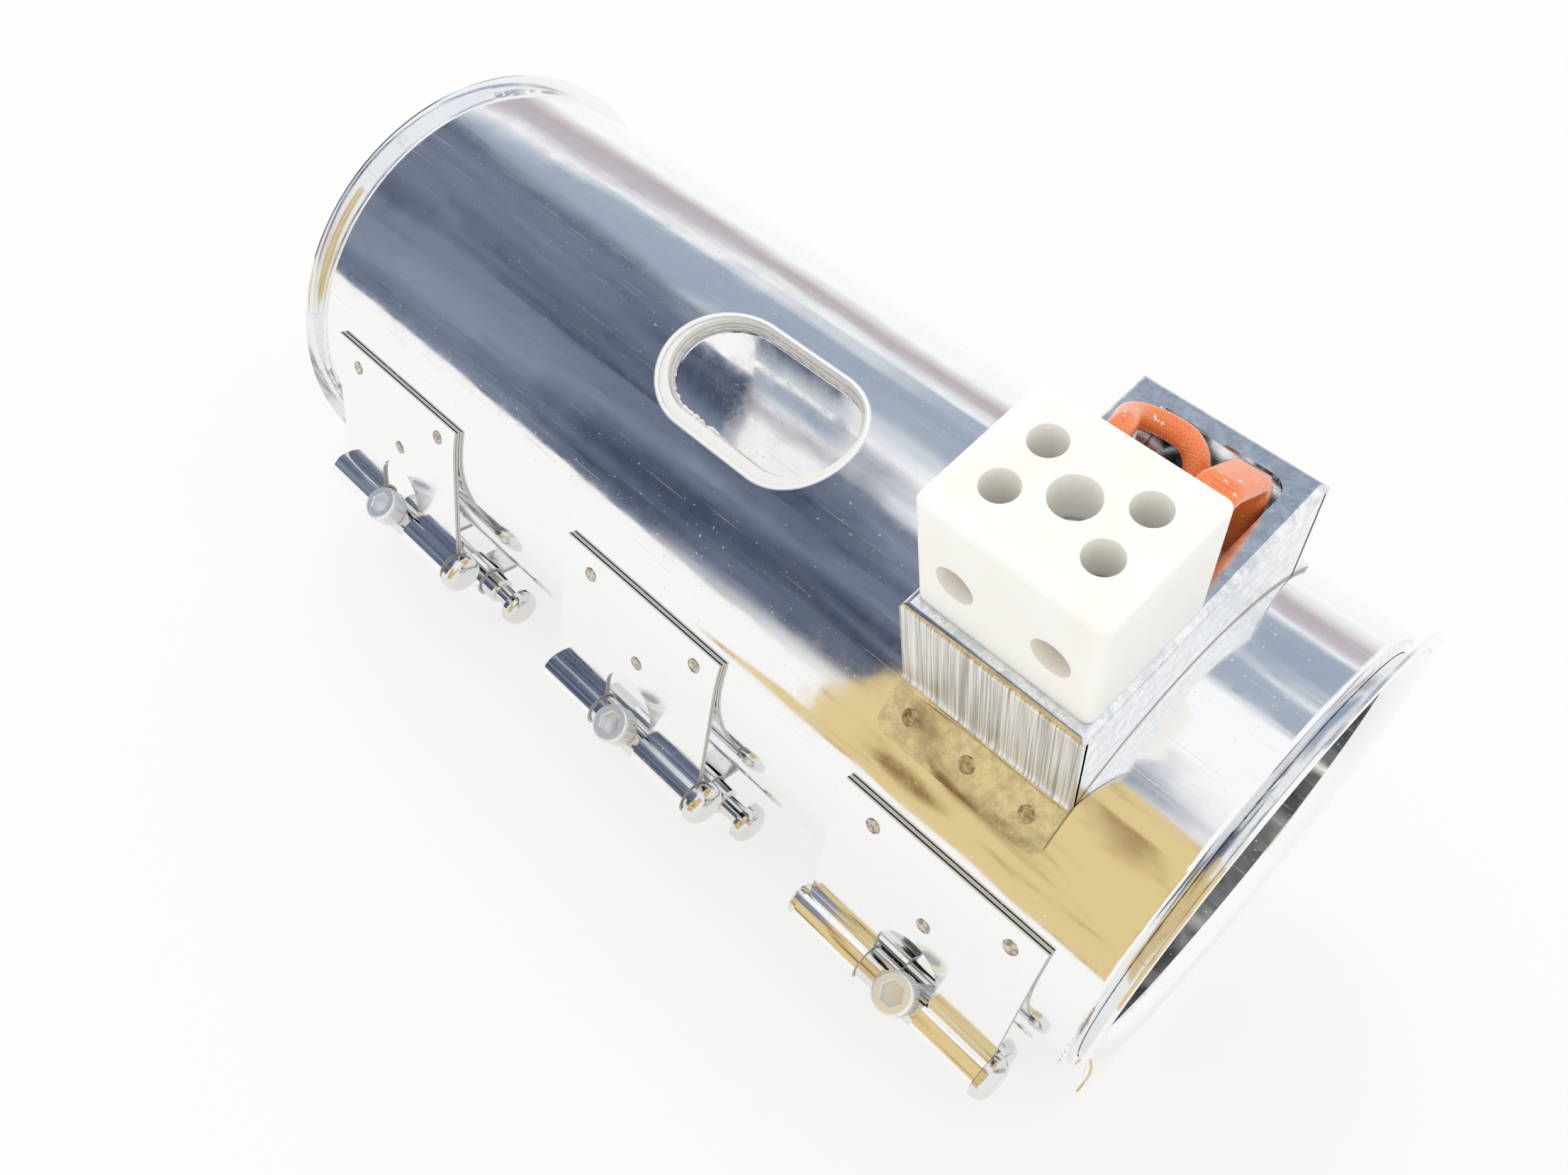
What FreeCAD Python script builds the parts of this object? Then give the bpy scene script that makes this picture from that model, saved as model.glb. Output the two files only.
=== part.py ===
import FreeCAD, Part
import math
import os

# Band heater: a split, insulated steel tube that clamps round a machine barrel. It is modelled with its
# tube axis along X and its terminal box upright, and is then turned about X into the pose in which it
# lies on a table, on its end lips and on the heads of its lower clamp pins.
# Angles about the axis are in degrees from the box's own upright, positive towards +Y.

Vec = FreeCAD.Vector
AXIS = Vec(1, 0, 0)
ORIGIN = Vec(0, 0, 0)

# Tube wall, from the outside in. Neighbouring layers lie LAYER_GAP apart.
SHROUD_RADIUS = 60.0
BODY_LENGTH = 270.0
SHROUD_SHEET = 0.6
END_CORNER = 2.0
BLANKET = 1.5
MICA_SHEET = 0.4
RIBBON_THICK = 0.2
SLEEVE_SHEET = 0.6
LAYER_GAP = 0.15
END_GAP = 0.3

# Flared lip at each end of the inner sleeve.
LIP_RISE = 3.4
LIP_REACH = 3.6
FLARE_RADIUS = 4.6

# Split along the tube, and the sensor slot through the wall. The insulation and the sleeve were cut
# smaller than the shroud and a little to one side.
SPLIT_ANGLE = -111.6
SPLIT_WIDTH = 8.0
SLOT_X = 0.0
SLOT_ANGLE = -7.5
SLOT_LENGTH = 55.0
SLOT_WIDTH = 31.4
INNER_SLOT_ANGLE = -6.3
INNER_SLOT_LENGTH = 50.6
INNER_SLOT_WIDTH = 26.6
BLANKET_MARGIN = 0.9

# Resistance ribbon, laid to and fro along the tube between the mica sheets.
RIBBON_WIDTH = 5.0
RIBBON_RUNS = 24
RIBBON_EDGE_ANGLE = 8.0
RIBBON_INSET = 13.0
RETURN_INSET = 5.0
SLOT_MARGIN = 5.0
TAIL_CLEAR_ANGLE = 5.0

# Clamps: a folded leaf with a rolled eye on each side of the split, two headed pins and a cap screw. The
# pieces of a clamp sit a little off its middle, by the shifts given from the left clamp to the right.
LEFT_CLAMP_INSET = 37.4
MIDDLE_CLAMP_X = 2.6
RIGHT_CLAMP_INSET = 39.4
NOTCH_SHIFTS = (0.0, 0.0, 1.0)
SCREW_SHIFTS = (0.0, 1.0, 3.4)
NEAR_PIN_SHIFTS = (0.0, 0.0, -1.6)
FAR_PIN_SHIFTS = (0.0, 0.0, -6.0)
NEAR_PIN_RISE = 12.0
NEAR_PIN_ANGLE = -99.8
FAR_PIN_RISE = 15.0
FAR_PIN_ANGLE = -125.4
PIN_RADIUS = 4.0
PIN_OVERHANG = 0.8
PIN_HEAD_REACH = 1.8
PIN_NECK_RADIUS = 2.8
PIN_NECK_LENGTH = 7.0
PIN_HEAD_RADIUS = 5.6
PIN_HEAD_HEIGHT = 4.0
PIN_HEAD_DOME = 3.0
PIN_CHAMFER = 0.6
PIN_SEAT_DEPTH = 0.5
SEAT_MARGIN = 1.0
EYE_CLEARANCE = 0.12
EYE_OFFSET = 1.5
LEAF_SHEET = 0.7
LEAF_GAP = 0.1
LEAF_SEAT = 0.05
LEAF_WIDTH = 54.0
FAR_LEAF_WIDTH = 32.0
LEAF_LAP_ANGLE = 9.5
NOTCH_WIDTH = 17.0
NOTCH_RISE = 13.0
FAR_NOTCH_WIDTH = 14.0
WELD_RADIUS = 2.2
WELD_SPAN = 36.5
WELD_SHIFT = 1.2
WELD_INSET = 6.3
WELD_LOW = 21.3
CAP_SCREW_RADIUS = 3.0
CAP_SCREW_LENGTH = 40.0
CAP_HEAD_RADIUS = 5.0
CAP_HEAD_HEIGHT = 6.0
CAP_HEAD_CHAMFER = 0.6
CAP_SOCKET_FLATS = 5.0
CAP_SOCKET_DEPTH = 3.2
SEAT_CLEARANCE = 0.05
THREAD_CLEARANCE = 0.06
PASS_CLEARANCE = 0.2

# Terminal box, folded from one sheet, with feet that follow the shroud and a wiring hatch in its top.
BOX_INSET = 45.4
BOX_LENGTH = 42.2
BOX_NEAR_Y = -34.8
BOX_FAR_Y = 37.0
BOX_RISE = 18.7
BOX_SHEET = 1.0
BOX_BEND = 1.6
BOX_FOOT_BEND = 3.0
BOX_FOOT_SWEEP = 11.2
BOX_FOOT_CORNER = 3.0
BOX_SEAM = 0.7
HATCH_LENGTH = 31.4
HATCH_NEAR_Y = 3.2
HATCH_FAR_Y = 32.2
HATCH_CORNER = 4.0

# Ceramic block, standing on the box's top beside the hatch.
BLOCK_SHIFT = -0.1
BLOCK_LENGTH = 39.6
BLOCK_NEAR_Y = -31.6
BLOCK_FAR_Y = 1.2
BLOCK_HEIGHT = 30.9
BLOCK_EDGE = 2.0
POLE_SPACING = 20.9
SCREW_ROW_Y = -14.6
SCREW_SPACING = 12.1
ACCESS_RADIUS = 3.6
FIXING_HOLE_RADIUS = 4.6
FIXING_HOLE_DEPTH = 15.0
CABLE_HOLE_RADIUS = 4.2
WIRE_HEIGHT = 13.2
POCKET_CLEARANCE = 0.15

# Brass terminal bars and their screws.
BAR_WIDTH = 7.4
BAR_HEIGHT = 8.6
BAR_LENGTH = 24.0
BAR_BORE_RADIUS = 1.9
TERMINAL_SCREW_RADIUS = 2.0
TERMINAL_HEAD_RADIUS = 3.25
TERMINAL_HEAD_HEIGHT = 2.6
TERMINAL_SLOT_WIDTH = 1.0
TERMINAL_SLOT_DEPTH = 1.3
TERMINAL_STANDOFF = 0.5
GRIP_GAP = 0.1

# Screw and nut that hold the block to the box.
FIXING_SCREW_RADIUS = 2.5
FIXING_HEAD_RADIUS = 4.2
FIXING_HEAD_HEIGHT = 3.0
NUT_FLATS = 8.0
NUT_HEIGHT = 4.0
NUT_PROJECTION = 1.5

# Heater leads: a bare conductor in an orange glass-fibre sleeve, from the ribbon's tails to the block.
CONDUCTOR_RADIUS = 1.0
CONDUCTOR_CLEARANCE = 0.15
ROUND_SLEEVE_RADIUS = 2.6
FLAT_SLEEVE_WIDTH = 9.0
FLAT_SLEEVE_THICK = 3.8
SLEEVE_HOLE_CLEARANCE = 0.4
SLEEVE_END_GAP = 0.5
TAIL_LEFT_DX = 1.7
TAIL_LEFT_Y = 12.0
TAIL_RIGHT_Y = 22.0
LEAD_BEND = 6.5
LEAD_START_RISE = 6.0
LOOP_FAR_Y = 25.6
LOOP_RISE = 4.3
LOOP_LEFT_DX = -15.6
BEND_FAR_Y = 27.5
BEND_RISE = 3.8
LEAD_BACK_Y = 14.0
CONDUCTOR_GRIP = 8.0

# Sizes worked out from the values above.
SHROUD_INNER = SHROUD_RADIUS - SHROUD_SHEET
BLANKET_OUTER = SHROUD_INNER - LAYER_GAP
BLANKET_INNER = BLANKET_OUTER - BLANKET
OUTER_MICA_OUTER = BLANKET_INNER - LAYER_GAP
OUTER_MICA_INNER = OUTER_MICA_OUTER - MICA_SHEET
RIBBON_OUTER = OUTER_MICA_INNER - LAYER_GAP
RIBBON_INNER = RIBBON_OUTER - RIBBON_THICK
CORE_OUTER = RIBBON_INNER - LAYER_GAP
CORE_INNER = CORE_OUTER - MICA_SHEET
INNER_MICA_OUTER = CORE_INNER - LAYER_GAP
INNER_MICA_INNER = INNER_MICA_OUTER - MICA_SHEET
SLEEVE_OUTER = INNER_MICA_INNER - LAYER_GAP
BORE_RADIUS = SLEEVE_OUTER - SLEEVE_SHEET
LIP_RADIUS = SHROUD_RADIUS + LIP_RISE
LAYER_LENGTH = BODY_LENGTH - 2 * END_CORNER
SPLIT_HALF_ANGLE = math.degrees(math.asin(SPLIT_WIDTH / 2 / SHROUD_RADIUS))
RIBBON_END = BODY_LENGTH / 2 - RIBBON_INSET
RETURN_END = BODY_LENGTH / 2 - RETURN_INSET

CLAMP_XS = (LEFT_CLAMP_INSET - BODY_LENGTH / 2, MIDDLE_CLAMP_X, BODY_LENGTH / 2 - RIGHT_CLAMP_INSET)
NEAR_PIN_CIRCLE = SHROUD_RADIUS + NEAR_PIN_RISE
FAR_PIN_CIRCLE = SHROUD_RADIUS + FAR_PIN_RISE

EYE_BORE = PIN_RADIUS + EYE_CLEARANCE
EYE_RADIUS = EYE_BORE + LEAF_SHEET
LEAF_BASE = SHROUD_RADIUS + LEAF_SEAT
LEAF_STACK = 2 * LEAF_SHEET + LEAF_GAP
EYE_PLANE = LEAF_BASE + LEAF_STACK / 2 + EYE_OFFSET
HEAD_SEAT = PIN_RADIUS - PIN_SEAT_DEPTH + SEAT_CLEARANCE

# The part rests where the lower pins' heads and the lips touch one plane.
REST_TURN = (180 - abs(FAR_PIN_ANGLE)
             - math.degrees(math.acos((LIP_RADIUS - PIN_HEAD_RADIUS) / FAR_PIN_CIRCLE)))

BOX_X = BODY_LENGTH / 2 - BOX_INSET
BOX_SEAT = SHROUD_RADIUS + LEAF_SEAT
BOX_TOP = SHROUD_RADIUS + BOX_RISE
BLOCK_X = BOX_X + BLOCK_SHIFT
BLOCK_BASE = BOX_TOP + LEAF_SEAT
BLOCK_TOP = BLOCK_BASE + BLOCK_HEIGHT
FIXING_SEAT = BLOCK_TOP - FIXING_HOLE_DEPTH
WIRE_Z = BOX_TOP + WIRE_HEIGHT
POLE_XS = (BLOCK_X - POLE_SPACING / 2, BLOCK_X + POLE_SPACING / 2)
SCREW_YS = (SCREW_ROW_Y - SCREW_SPACING / 2, SCREW_ROW_Y + SCREW_SPACING / 2)
BAR_TOP = WIRE_Z + BAR_HEIGHT / 2
BAR_NEAR_Y = SCREW_ROW_Y - BAR_LENGTH / 2
TAIL_XS = (BLOCK_X + TAIL_LEFT_DX, POLE_XS[1])
TAIL_YS = (TAIL_LEFT_Y, TAIL_RIGHT_Y)


def on_circle(radius, angle, x=0.0):
    turn = math.radians(angle)
    return Vec(x, radius * math.sin(turn), radius * math.cos(turn))


def turned(shape, angle):
    """Turns a shape about the tube axis by an angle counted as the part's angles are."""
    copy = shape.copy()
    copy.rotate(ORIGIN, AXIS, -angle)
    return copy


def outline(points):
    """A closed wire of straight edges and of arcs, each arc given as (middle, end)."""
    edges = []
    here = points[0]
    for step in list(points[1:]) + [points[0]]:
        if isinstance(step, tuple):
            edges.append(Part.Arc(here, step[0], step[1]).toShape())
            here = step[1]
        else:
            if here.distanceToPoint(step) > 1e-6:
                edges.append(Part.LineSegment(here, step).toShape())
            here = step
    return Part.Wire(edges)


def profile_ring(points, start, sweep):
    """Turns an outline drawn in the XZ plane about the tube axis, from one angle over a sweep."""
    face = turned(Part.Face(outline(points)), start)
    return face.revolve(ORIGIN, -AXIS, sweep)


def ring_sector(inner, outer, x_low, x_high, start, sweep):
    corners = [Vec(x_low, 0, inner), Vec(x_high, 0, inner), Vec(x_high, 0, outer), Vec(x_low, 0, outer)]
    return profile_ring(corners, start, sweep)


def split_sweep():
    return SPLIT_ANGLE + SPLIT_HALF_ANGLE, 360 - 2 * SPLIT_HALF_ANGLE


def layer(inner, outer):
    """One full layer of the wall, open at the split."""
    start, sweep = split_sweep()
    return ring_sector(inner, outer, -LAYER_LENGTH / 2, LAYER_LENGTH / 2, start, sweep)


def obround_prism(length, width, base, height):
    """A prism along Z whose section is an obround lying along X."""
    radius = width / 2
    reach = length / 2 - radius
    points = [Vec(-reach, -radius, base), Vec(reach, -radius, base),
              (Vec(reach + radius, 0, base), Vec(reach, radius, base)), Vec(-reach, radius, base),
              (Vec(-reach - radius, 0, base), Vec(-reach, -radius, base))]
    return Part.Face(outline(points)).extrude(Vec(0, 0, height))


def slot_cutter(length, width, angle):
    cutter = obround_prism(length, width, SHROUD_RADIUS / 2, SHROUD_RADIUS)
    cutter.translate(Vec(SLOT_X, 0, 0))
    return turned(cutter, angle)


def cylinder(radius, height, base, direction=Vec(0, 0, 1)):
    return Part.makeCylinder(radius, height, base, direction)


def box_between(low, high):
    return Part.makeBox(high.x - low.x, high.y - low.y, high.z - low.z, low)


def lead_cutters(margin=SLEEVE_HOLE_CLEARANCE):
    """Upright holes through the wall for the two lead sleeves."""
    base = SHROUD_RADIUS / 2
    round_hole = cylinder(ROUND_SLEEVE_RADIUS + margin, SHROUD_RADIUS / 2, Vec(TAIL_XS[0], TAIL_YS[0], base))
    flat_hole = obround_prism(FLAT_SLEEVE_WIDTH + 2 * margin, FLAT_SLEEVE_THICK + 2 * margin, base,
                              SHROUD_RADIUS / 2)
    flat_hole.translate(Vec(TAIL_XS[1], TAIL_YS[1], 0))
    return [round_hole, flat_hole]


def outer_shroud():
    end = BODY_LENGTH / 2
    low = SLEEVE_OUTER + END_GAP
    bend = END_CORNER - END_CORNER * math.sqrt(0.5)
    inner_bend = (END_CORNER - SHROUD_SHEET) * (1 - math.sqrt(0.5))
    wall = SHROUD_SHEET
    points = [
        Vec(-end, 0, low), Vec(-end, 0, SHROUD_RADIUS - END_CORNER),
        (Vec(-end + bend, 0, SHROUD_RADIUS - bend), Vec(-end + END_CORNER, 0, SHROUD_RADIUS)),
        Vec(end - END_CORNER, 0, SHROUD_RADIUS),
        (Vec(end - bend, 0, SHROUD_RADIUS - bend), Vec(end, 0, SHROUD_RADIUS - END_CORNER)),
        Vec(end, 0, low), Vec(end - wall, 0, low), Vec(end - wall, 0, SHROUD_RADIUS - END_CORNER),
        (Vec(end - wall - inner_bend, 0, SHROUD_INNER - inner_bend), Vec(end - END_CORNER, 0, SHROUD_INNER)),
        Vec(-end + END_CORNER, 0, SHROUD_INNER),
        (Vec(-end + wall + inner_bend, 0, SHROUD_INNER - inner_bend),
         Vec(-end + wall, 0, SHROUD_RADIUS - END_CORNER)),
        Vec(-end + wall, 0, low)]
    start, sweep = split_sweep()
    shell = profile_ring(points, start, sweep)
    return shell.cut([slot_cutter(SLOT_LENGTH, SLOT_WIDTH, SLOT_ANGLE)] + lead_cutters())


def inner_sleeve():
    """The bore's lining, flared outwards into a lip at both ends."""
    end = BODY_LENGTH / 2 + LIP_REACH
    start_x = end - FLARE_RADIUS
    centre = BORE_RADIUS + FLARE_RADIUS
    inside = FLARE_RADIUS - SLEEVE_SHEET
    out, back = FLARE_RADIUS * math.sqrt(0.5), inside * math.sqrt(0.5)
    points = [
        Vec(-start_x, 0, BORE_RADIUS), Vec(start_x, 0, BORE_RADIUS),
        (Vec(start_x + out, 0, centre - out), Vec(end, 0, centre)),
        Vec(end, 0, LIP_RADIUS), Vec(end - SLEEVE_SHEET, 0, LIP_RADIUS), Vec(end - SLEEVE_SHEET, 0, centre),
        (Vec(start_x + back, 0, centre - back), Vec(start_x, 0, SLEEVE_OUTER)),
        Vec(-start_x, 0, SLEEVE_OUTER),
        (Vec(-start_x - back, 0, centre - back), Vec(-end + SLEEVE_SHEET, 0, centre)),
        Vec(-end + SLEEVE_SHEET, 0, LIP_RADIUS), Vec(-end, 0, LIP_RADIUS), Vec(-end, 0, centre),
        (Vec(-start_x - out, 0, centre - out), Vec(-start_x, 0, BORE_RADIUS))]
    start, sweep = split_sweep()
    return profile_ring(points, start, sweep).cut(
        slot_cutter(INNER_SLOT_LENGTH, INNER_SLOT_WIDTH, INNER_SLOT_ANGLE))


def insulation(inner, outer, margin, pierced):
    """A layer between shroud and sleeve. The pierced ones let the leads out."""
    cutters = [slot_cutter(INNER_SLOT_LENGTH + 2 * margin, INNER_SLOT_WIDTH + 2 * margin, INNER_SLOT_ANGLE)]
    if pierced:
        cutters += lead_cutters()
    return layer(inner, outer).cut(cutters)


def run_end(angle):
    """How far a run may go towards +X at an angle: short of the slot, or of the tails under the box."""
    half_slot = math.degrees(math.asin((INNER_SLOT_WIDTH / 2 + SLOT_MARGIN) / RIBBON_INNER))
    half_slot += math.degrees(RIBBON_WIDTH / 2 / RIBBON_INNER)
    tails = [math.degrees(math.asin(y / RIBBON_OUTER)) for y in TAIL_YS]
    if abs(angle - INNER_SLOT_ANGLE) < half_slot:
        return SLOT_X - INNER_SLOT_LENGTH / 2 - SLOT_MARGIN
    if min(tails) - TAIL_CLEAR_ANGLE * 2 < angle < max(tails) + TAIL_CLEAR_ANGLE * 2:
        return TAIL_XS[0] - FLAT_SLEEVE_WIDTH
    return RIBBON_END


def resistance_ribbon():
    first = SPLIT_ANGLE + RIBBON_EDGE_ANGLE + SPLIT_HALF_ANGLE
    pitch = (360 - 2 * RIBBON_EDGE_ANGLE - 2 * SPLIT_HALF_ANGLE) / (RIBBON_RUNS - 1)
    angles = [first + pitch * i for i in range(RIBBON_RUNS)]
    half = math.degrees(RIBBON_WIDTH / 2 / RIBBON_INNER)

    def strip(x_low, x_high, low, high):
        return ring_sector(RIBBON_INNER, RIBBON_OUTER, x_low, x_high, low - half, high - low + 2 * half)

    pieces = []
    ends = [RETURN_END]
    for i in range(RIBBON_RUNS - 1):
        x = -RIBBON_END if i % 2 == 0 else min(run_end(angles[i]), run_end(angles[i + 1]))
        low_x = x if i % 2 == 0 else x - RIBBON_WIDTH
        pieces.append(strip(low_x, low_x + RIBBON_WIDTH, angles[i], angles[i + 1]))
        ends.append(x)
    ends.append(RETURN_END)
    for i in range(RIBBON_RUNS):
        pieces.append(strip(min(ends[i], ends[i + 1]), max(ends[i], ends[i + 1]), angles[i], angles[i]))
    for x, y, angle in zip(TAIL_XS, TAIL_YS, (angles[0], angles[-1])):
        tail = math.degrees(math.asin(y / RIBBON_OUTER))
        pieces.append(strip(RETURN_END - RIBBON_WIDTH, RETURN_END, min(tail, angle), max(tail, angle)))
        pieces.append(strip(x - RIBBON_WIDTH / 2, RETURN_END, tail, tail))
    return pieces[0].fuse(pieces[1:]).removeSplitter()


def pin_place(side):
    """Distance from the axis and angle of a pin: side is 1 beside the box and -1 across the split."""
    return (NEAR_PIN_CIRCLE, NEAR_PIN_ANGLE) if side > 0 else (FAR_PIN_CIRCLE, FAR_PIN_ANGLE)


def pin_centre(x, side):
    return on_circle(*pin_place(side), x)


def tangent_angle(side):
    """How far round from its pin a leaf first touches the shroud."""
    return math.degrees(math.acos(EYE_PLANE / pin_place(side)[0]))


def weld_places(width):
    """Spot welds as (place along the tube, reach below the top edge), closer together on a narrow leaf."""
    scale = width / LEAF_WIDTH
    side = WELD_SPAN / 2 * scale
    middle = WELD_SHIFT * scale
    return ((middle - side, WELD_INSET), (middle + side, WELD_INSET), (middle, WELD_LOW))


def leaf_section(width, side, notch_dx):
    """A strip folded round the pin, both halves lying together up to the shroud and along it. It is drawn
    with the pin at angle 0 and the shroud towards +Y."""
    eye = Vec(0, 0, pin_place(side)[0])
    start = tangent_angle(side)
    normal = on_circle(1, start)
    along = Vec(0, -normal.z, normal.y)
    run = (eye - normal * EYE_PLANE).Length
    top = start + LEAF_LAP_ANGLE

    def sheet(base):
        arc = ring_sector(base, base + LEAF_SHEET, -width / 2, width / 2, start, LEAF_LAP_ANGLE)
        corner = normal * base + Vec(-width / 2, 0, 0)
        points = [corner, corner + along * run, corner + along * run + normal * LEAF_SHEET,
                  corner + normal * LEAF_SHEET]
        return arc.fuse(Part.Face(outline(points)).extrude(Vec(width, 0, 0)))

    inner = sheet(LEAF_BASE)
    outer = sheet(LEAF_BASE + LEAF_SHEET + LEAF_GAP)
    roll = cylinder(EYE_RADIUS, width, eye + Vec(-width / 2, 0, 0), AXIS)
    bore = cylinder(EYE_BORE, width + 2, eye + Vec(-width / 2 - 1, 0, 0), AXIS)
    welds = []
    for dx, reach in weld_places(width):
        lap = SHROUD_RADIUS * math.radians(LEAF_LAP_ANGLE)
        angle = top - math.degrees(min(reach, lap) / SHROUD_RADIUS)
        out = on_circle(1, angle)
        place = on_circle(LEAF_BASE + LEAF_SHEET / 2, angle, dx) + along * max(0, reach - lap)
        welds.append(cylinder(WELD_RADIUS, LEAF_SHEET + LEAF_GAP, place, out))
    shape = inner.fuse([outer, roll] + welds).cut(bore)
    return shape.cut(notch_cutter(side, notch_dx, normal, along, run)).removeSplitter()


def notch_cutter(side, notch_dx, normal, along, run):
    """Lets the screw reach the pin: straight sides with a round head, through eye and leaf."""
    radius = (NOTCH_WIDTH if side > 0 else FAR_NOTCH_WIDTH) / 2
    base = normal * (EYE_PLANE - EYE_RADIUS * 1.5) + Vec(notch_dx, 0, 0)
    low = base + along * (run + EYE_RADIUS * 2)
    head = base + along * (run - EYE_RADIUS - NOTCH_RISE + radius)
    across = Vec(radius, 0, 0)
    points = [low - across, low + across, head + across, (head - along * radius, head - across)]
    return Part.Face(outline(points)).extrude(normal * EYE_RADIUS * 4)


def leaf(x, notch_dx, side):
    shape = leaf_section(LEAF_WIDTH if side > 0 else FAR_LEAF_WIDTH, side, notch_dx)
    if side < 0:
        shape = shape.mirror(ORIGIN, Vec(0, 1, 0))
    shape = turned(shape, pin_place(side)[1])
    shape.translate(Vec(x, 0, 0))
    return shape


def screw_direction():
    return (pin_centre(0, 1) - pin_centre(0, -1)).normalize()


def pin_blank(side):
    """A headed pin along X. A pin across the split is turned down to a thin neck beside its head."""
    low = -LEAF_WIDTH / 2 - PIN_OVERHANG
    high = LEAF_WIDTH / 2 + PIN_HEAD_REACH
    full = high if side > 0 else high - PIN_NECK_LENGTH
    shank = cylinder(PIN_RADIUS, full - low, Vec(low, 0, 0), AXIS)
    ends = [e for e in shank.Edges if e.BoundBox.XLength < 1e-3 and (side < 0 or e.BoundBox.XMin < full - 1)]
    shank = shank.makeChamfer(PIN_CHAMFER, ends)
    head = cylinder(PIN_HEAD_RADIUS, PIN_HEAD_HEIGHT, Vec(high, 0, 0), AXIS)
    rims = [e for e in head.Edges if e.BoundBox.XMin > high + PIN_HEAD_HEIGHT / 2 and e.BoundBox.XLength < 1e-3]
    pin = shank.fuse(head.makeFillet(PIN_HEAD_DOME, rims))
    return pin if side > 0 else pin.fuse(cylinder(PIN_NECK_RADIUS, high - full, Vec(full, 0, 0), AXIS))


def clamp_pin(x, screw_x, side, hole_radius):
    """A pin lying in the eyes, bored across for the screw and, on the near side, with a seat."""
    shape = pin_blank(side)
    shape.translate(pin_centre(x, side))
    centre = pin_centre(screw_x, side)
    up = screw_direction()
    cuts = [cylinder(hole_radius, PIN_RADIUS * 4, centre - up * PIN_RADIUS * 2, up)]
    if side > 0:
        reach = CAP_HEAD_RADIUS + SEAT_MARGIN
        seat = box_between(Vec(-reach, -PIN_RADIUS * 2, PIN_RADIUS - PIN_SEAT_DEPTH),
                           Vec(reach, PIN_RADIUS * 2, PIN_RADIUS * 2))
        seat = turned(seat, math.degrees(math.atan2(up.y, up.z)))
        seat.translate(centre)
        cuts.append(seat)
    return shape.cut(cuts)


def hexagon_prism(flats, height, base, direction):
    points = [Vec(flats / math.sqrt(3) * math.cos(math.radians(60 * i)),
                  flats / math.sqrt(3) * math.sin(math.radians(60 * i)), 0) for i in range(6)]
    prism = Part.Face(outline(points)).extrude(Vec(0, 0, height))
    prism.rotate(ORIGIN, AXIS, -math.degrees(math.atan2(direction.y, direction.z)))
    prism.translate(base)
    return prism


def clamp_screw(x):
    up = screw_direction()
    seat = pin_centre(x, 1) + up * HEAD_SEAT
    tip = seat - up * CAP_SCREW_LENGTH
    shank = cylinder(CAP_SCREW_RADIUS, CAP_SCREW_LENGTH, tip, up)
    shank = shank.makeChamfer(CAP_HEAD_CHAMFER,
                              [e for e in shank.Edges if e.BoundBox.Center.distanceToPoint(tip) < 1e-3])
    head = cylinder(CAP_HEAD_RADIUS, CAP_HEAD_HEIGHT, seat, up)
    rims = [e for e in head.Edges if e.BoundBox.Center.distanceToPoint(seat + up * CAP_HEAD_HEIGHT) < 1e-3]
    head = head.makeFillet(CAP_HEAD_CHAMFER, rims)
    socket = hexagon_prism(CAP_SOCKET_FLATS, CAP_SOCKET_DEPTH + 1,
                           seat + up * (CAP_HEAD_HEIGHT - CAP_SOCKET_DEPTH), up)
    return head.fuse(shank).cut(socket)


def rounded_block(low, high, radius):
    """A box whose upper edges are rounded."""
    block = box_between(low, high)
    rims = [e for e in block.Edges if abs(e.BoundBox.ZMin - high.z) < 1e-6]
    return block.makeFillet(radius, rims)


def box_foot(wall):
    """A foot that follows the shroud outwards from a side wall, with its tip corners rounded."""
    side = abs(wall)
    start = math.degrees(math.asin((side - BOX_SHEET) / BOX_SEAT))
    end = math.degrees(math.asin(side / BOX_SEAT)) + BOX_FOOT_SWEEP
    foot = ring_sector(BOX_SEAT, BOX_SEAT + BOX_SHEET, BOX_X - BOX_LENGTH / 2, BOX_X + BOX_LENGTH / 2,
                       start, end - start)
    tip = on_circle(BOX_SEAT, end).y
    corners = [e for e in foot.Edges if e.Length < BOX_SHEET * 1.1 and abs(e.BoundBox.YMin - tip) < BOX_SHEET]
    foot = foot.makeFillet(BOX_FOOT_CORNER, corners)
    return foot if wall > 0 else foot.mirror(ORIGIN, Vec(0, 1, 0))


def bent_root(body, wall):
    """Rounds the bend between a side wall and its foot."""
    height = math.sqrt((BOX_SEAT + BOX_SHEET) ** 2 - wall ** 2)
    edges = [e for e in body.Edges
             if e.Length > BOX_LENGTH * 0.9 and abs(e.BoundBox.Center.y - wall) < 1e-3
             and abs(e.BoundBox.Center.z - height) < 1e-3]
    return body.makeFillet(BOX_FOOT_BEND, edges)


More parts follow.
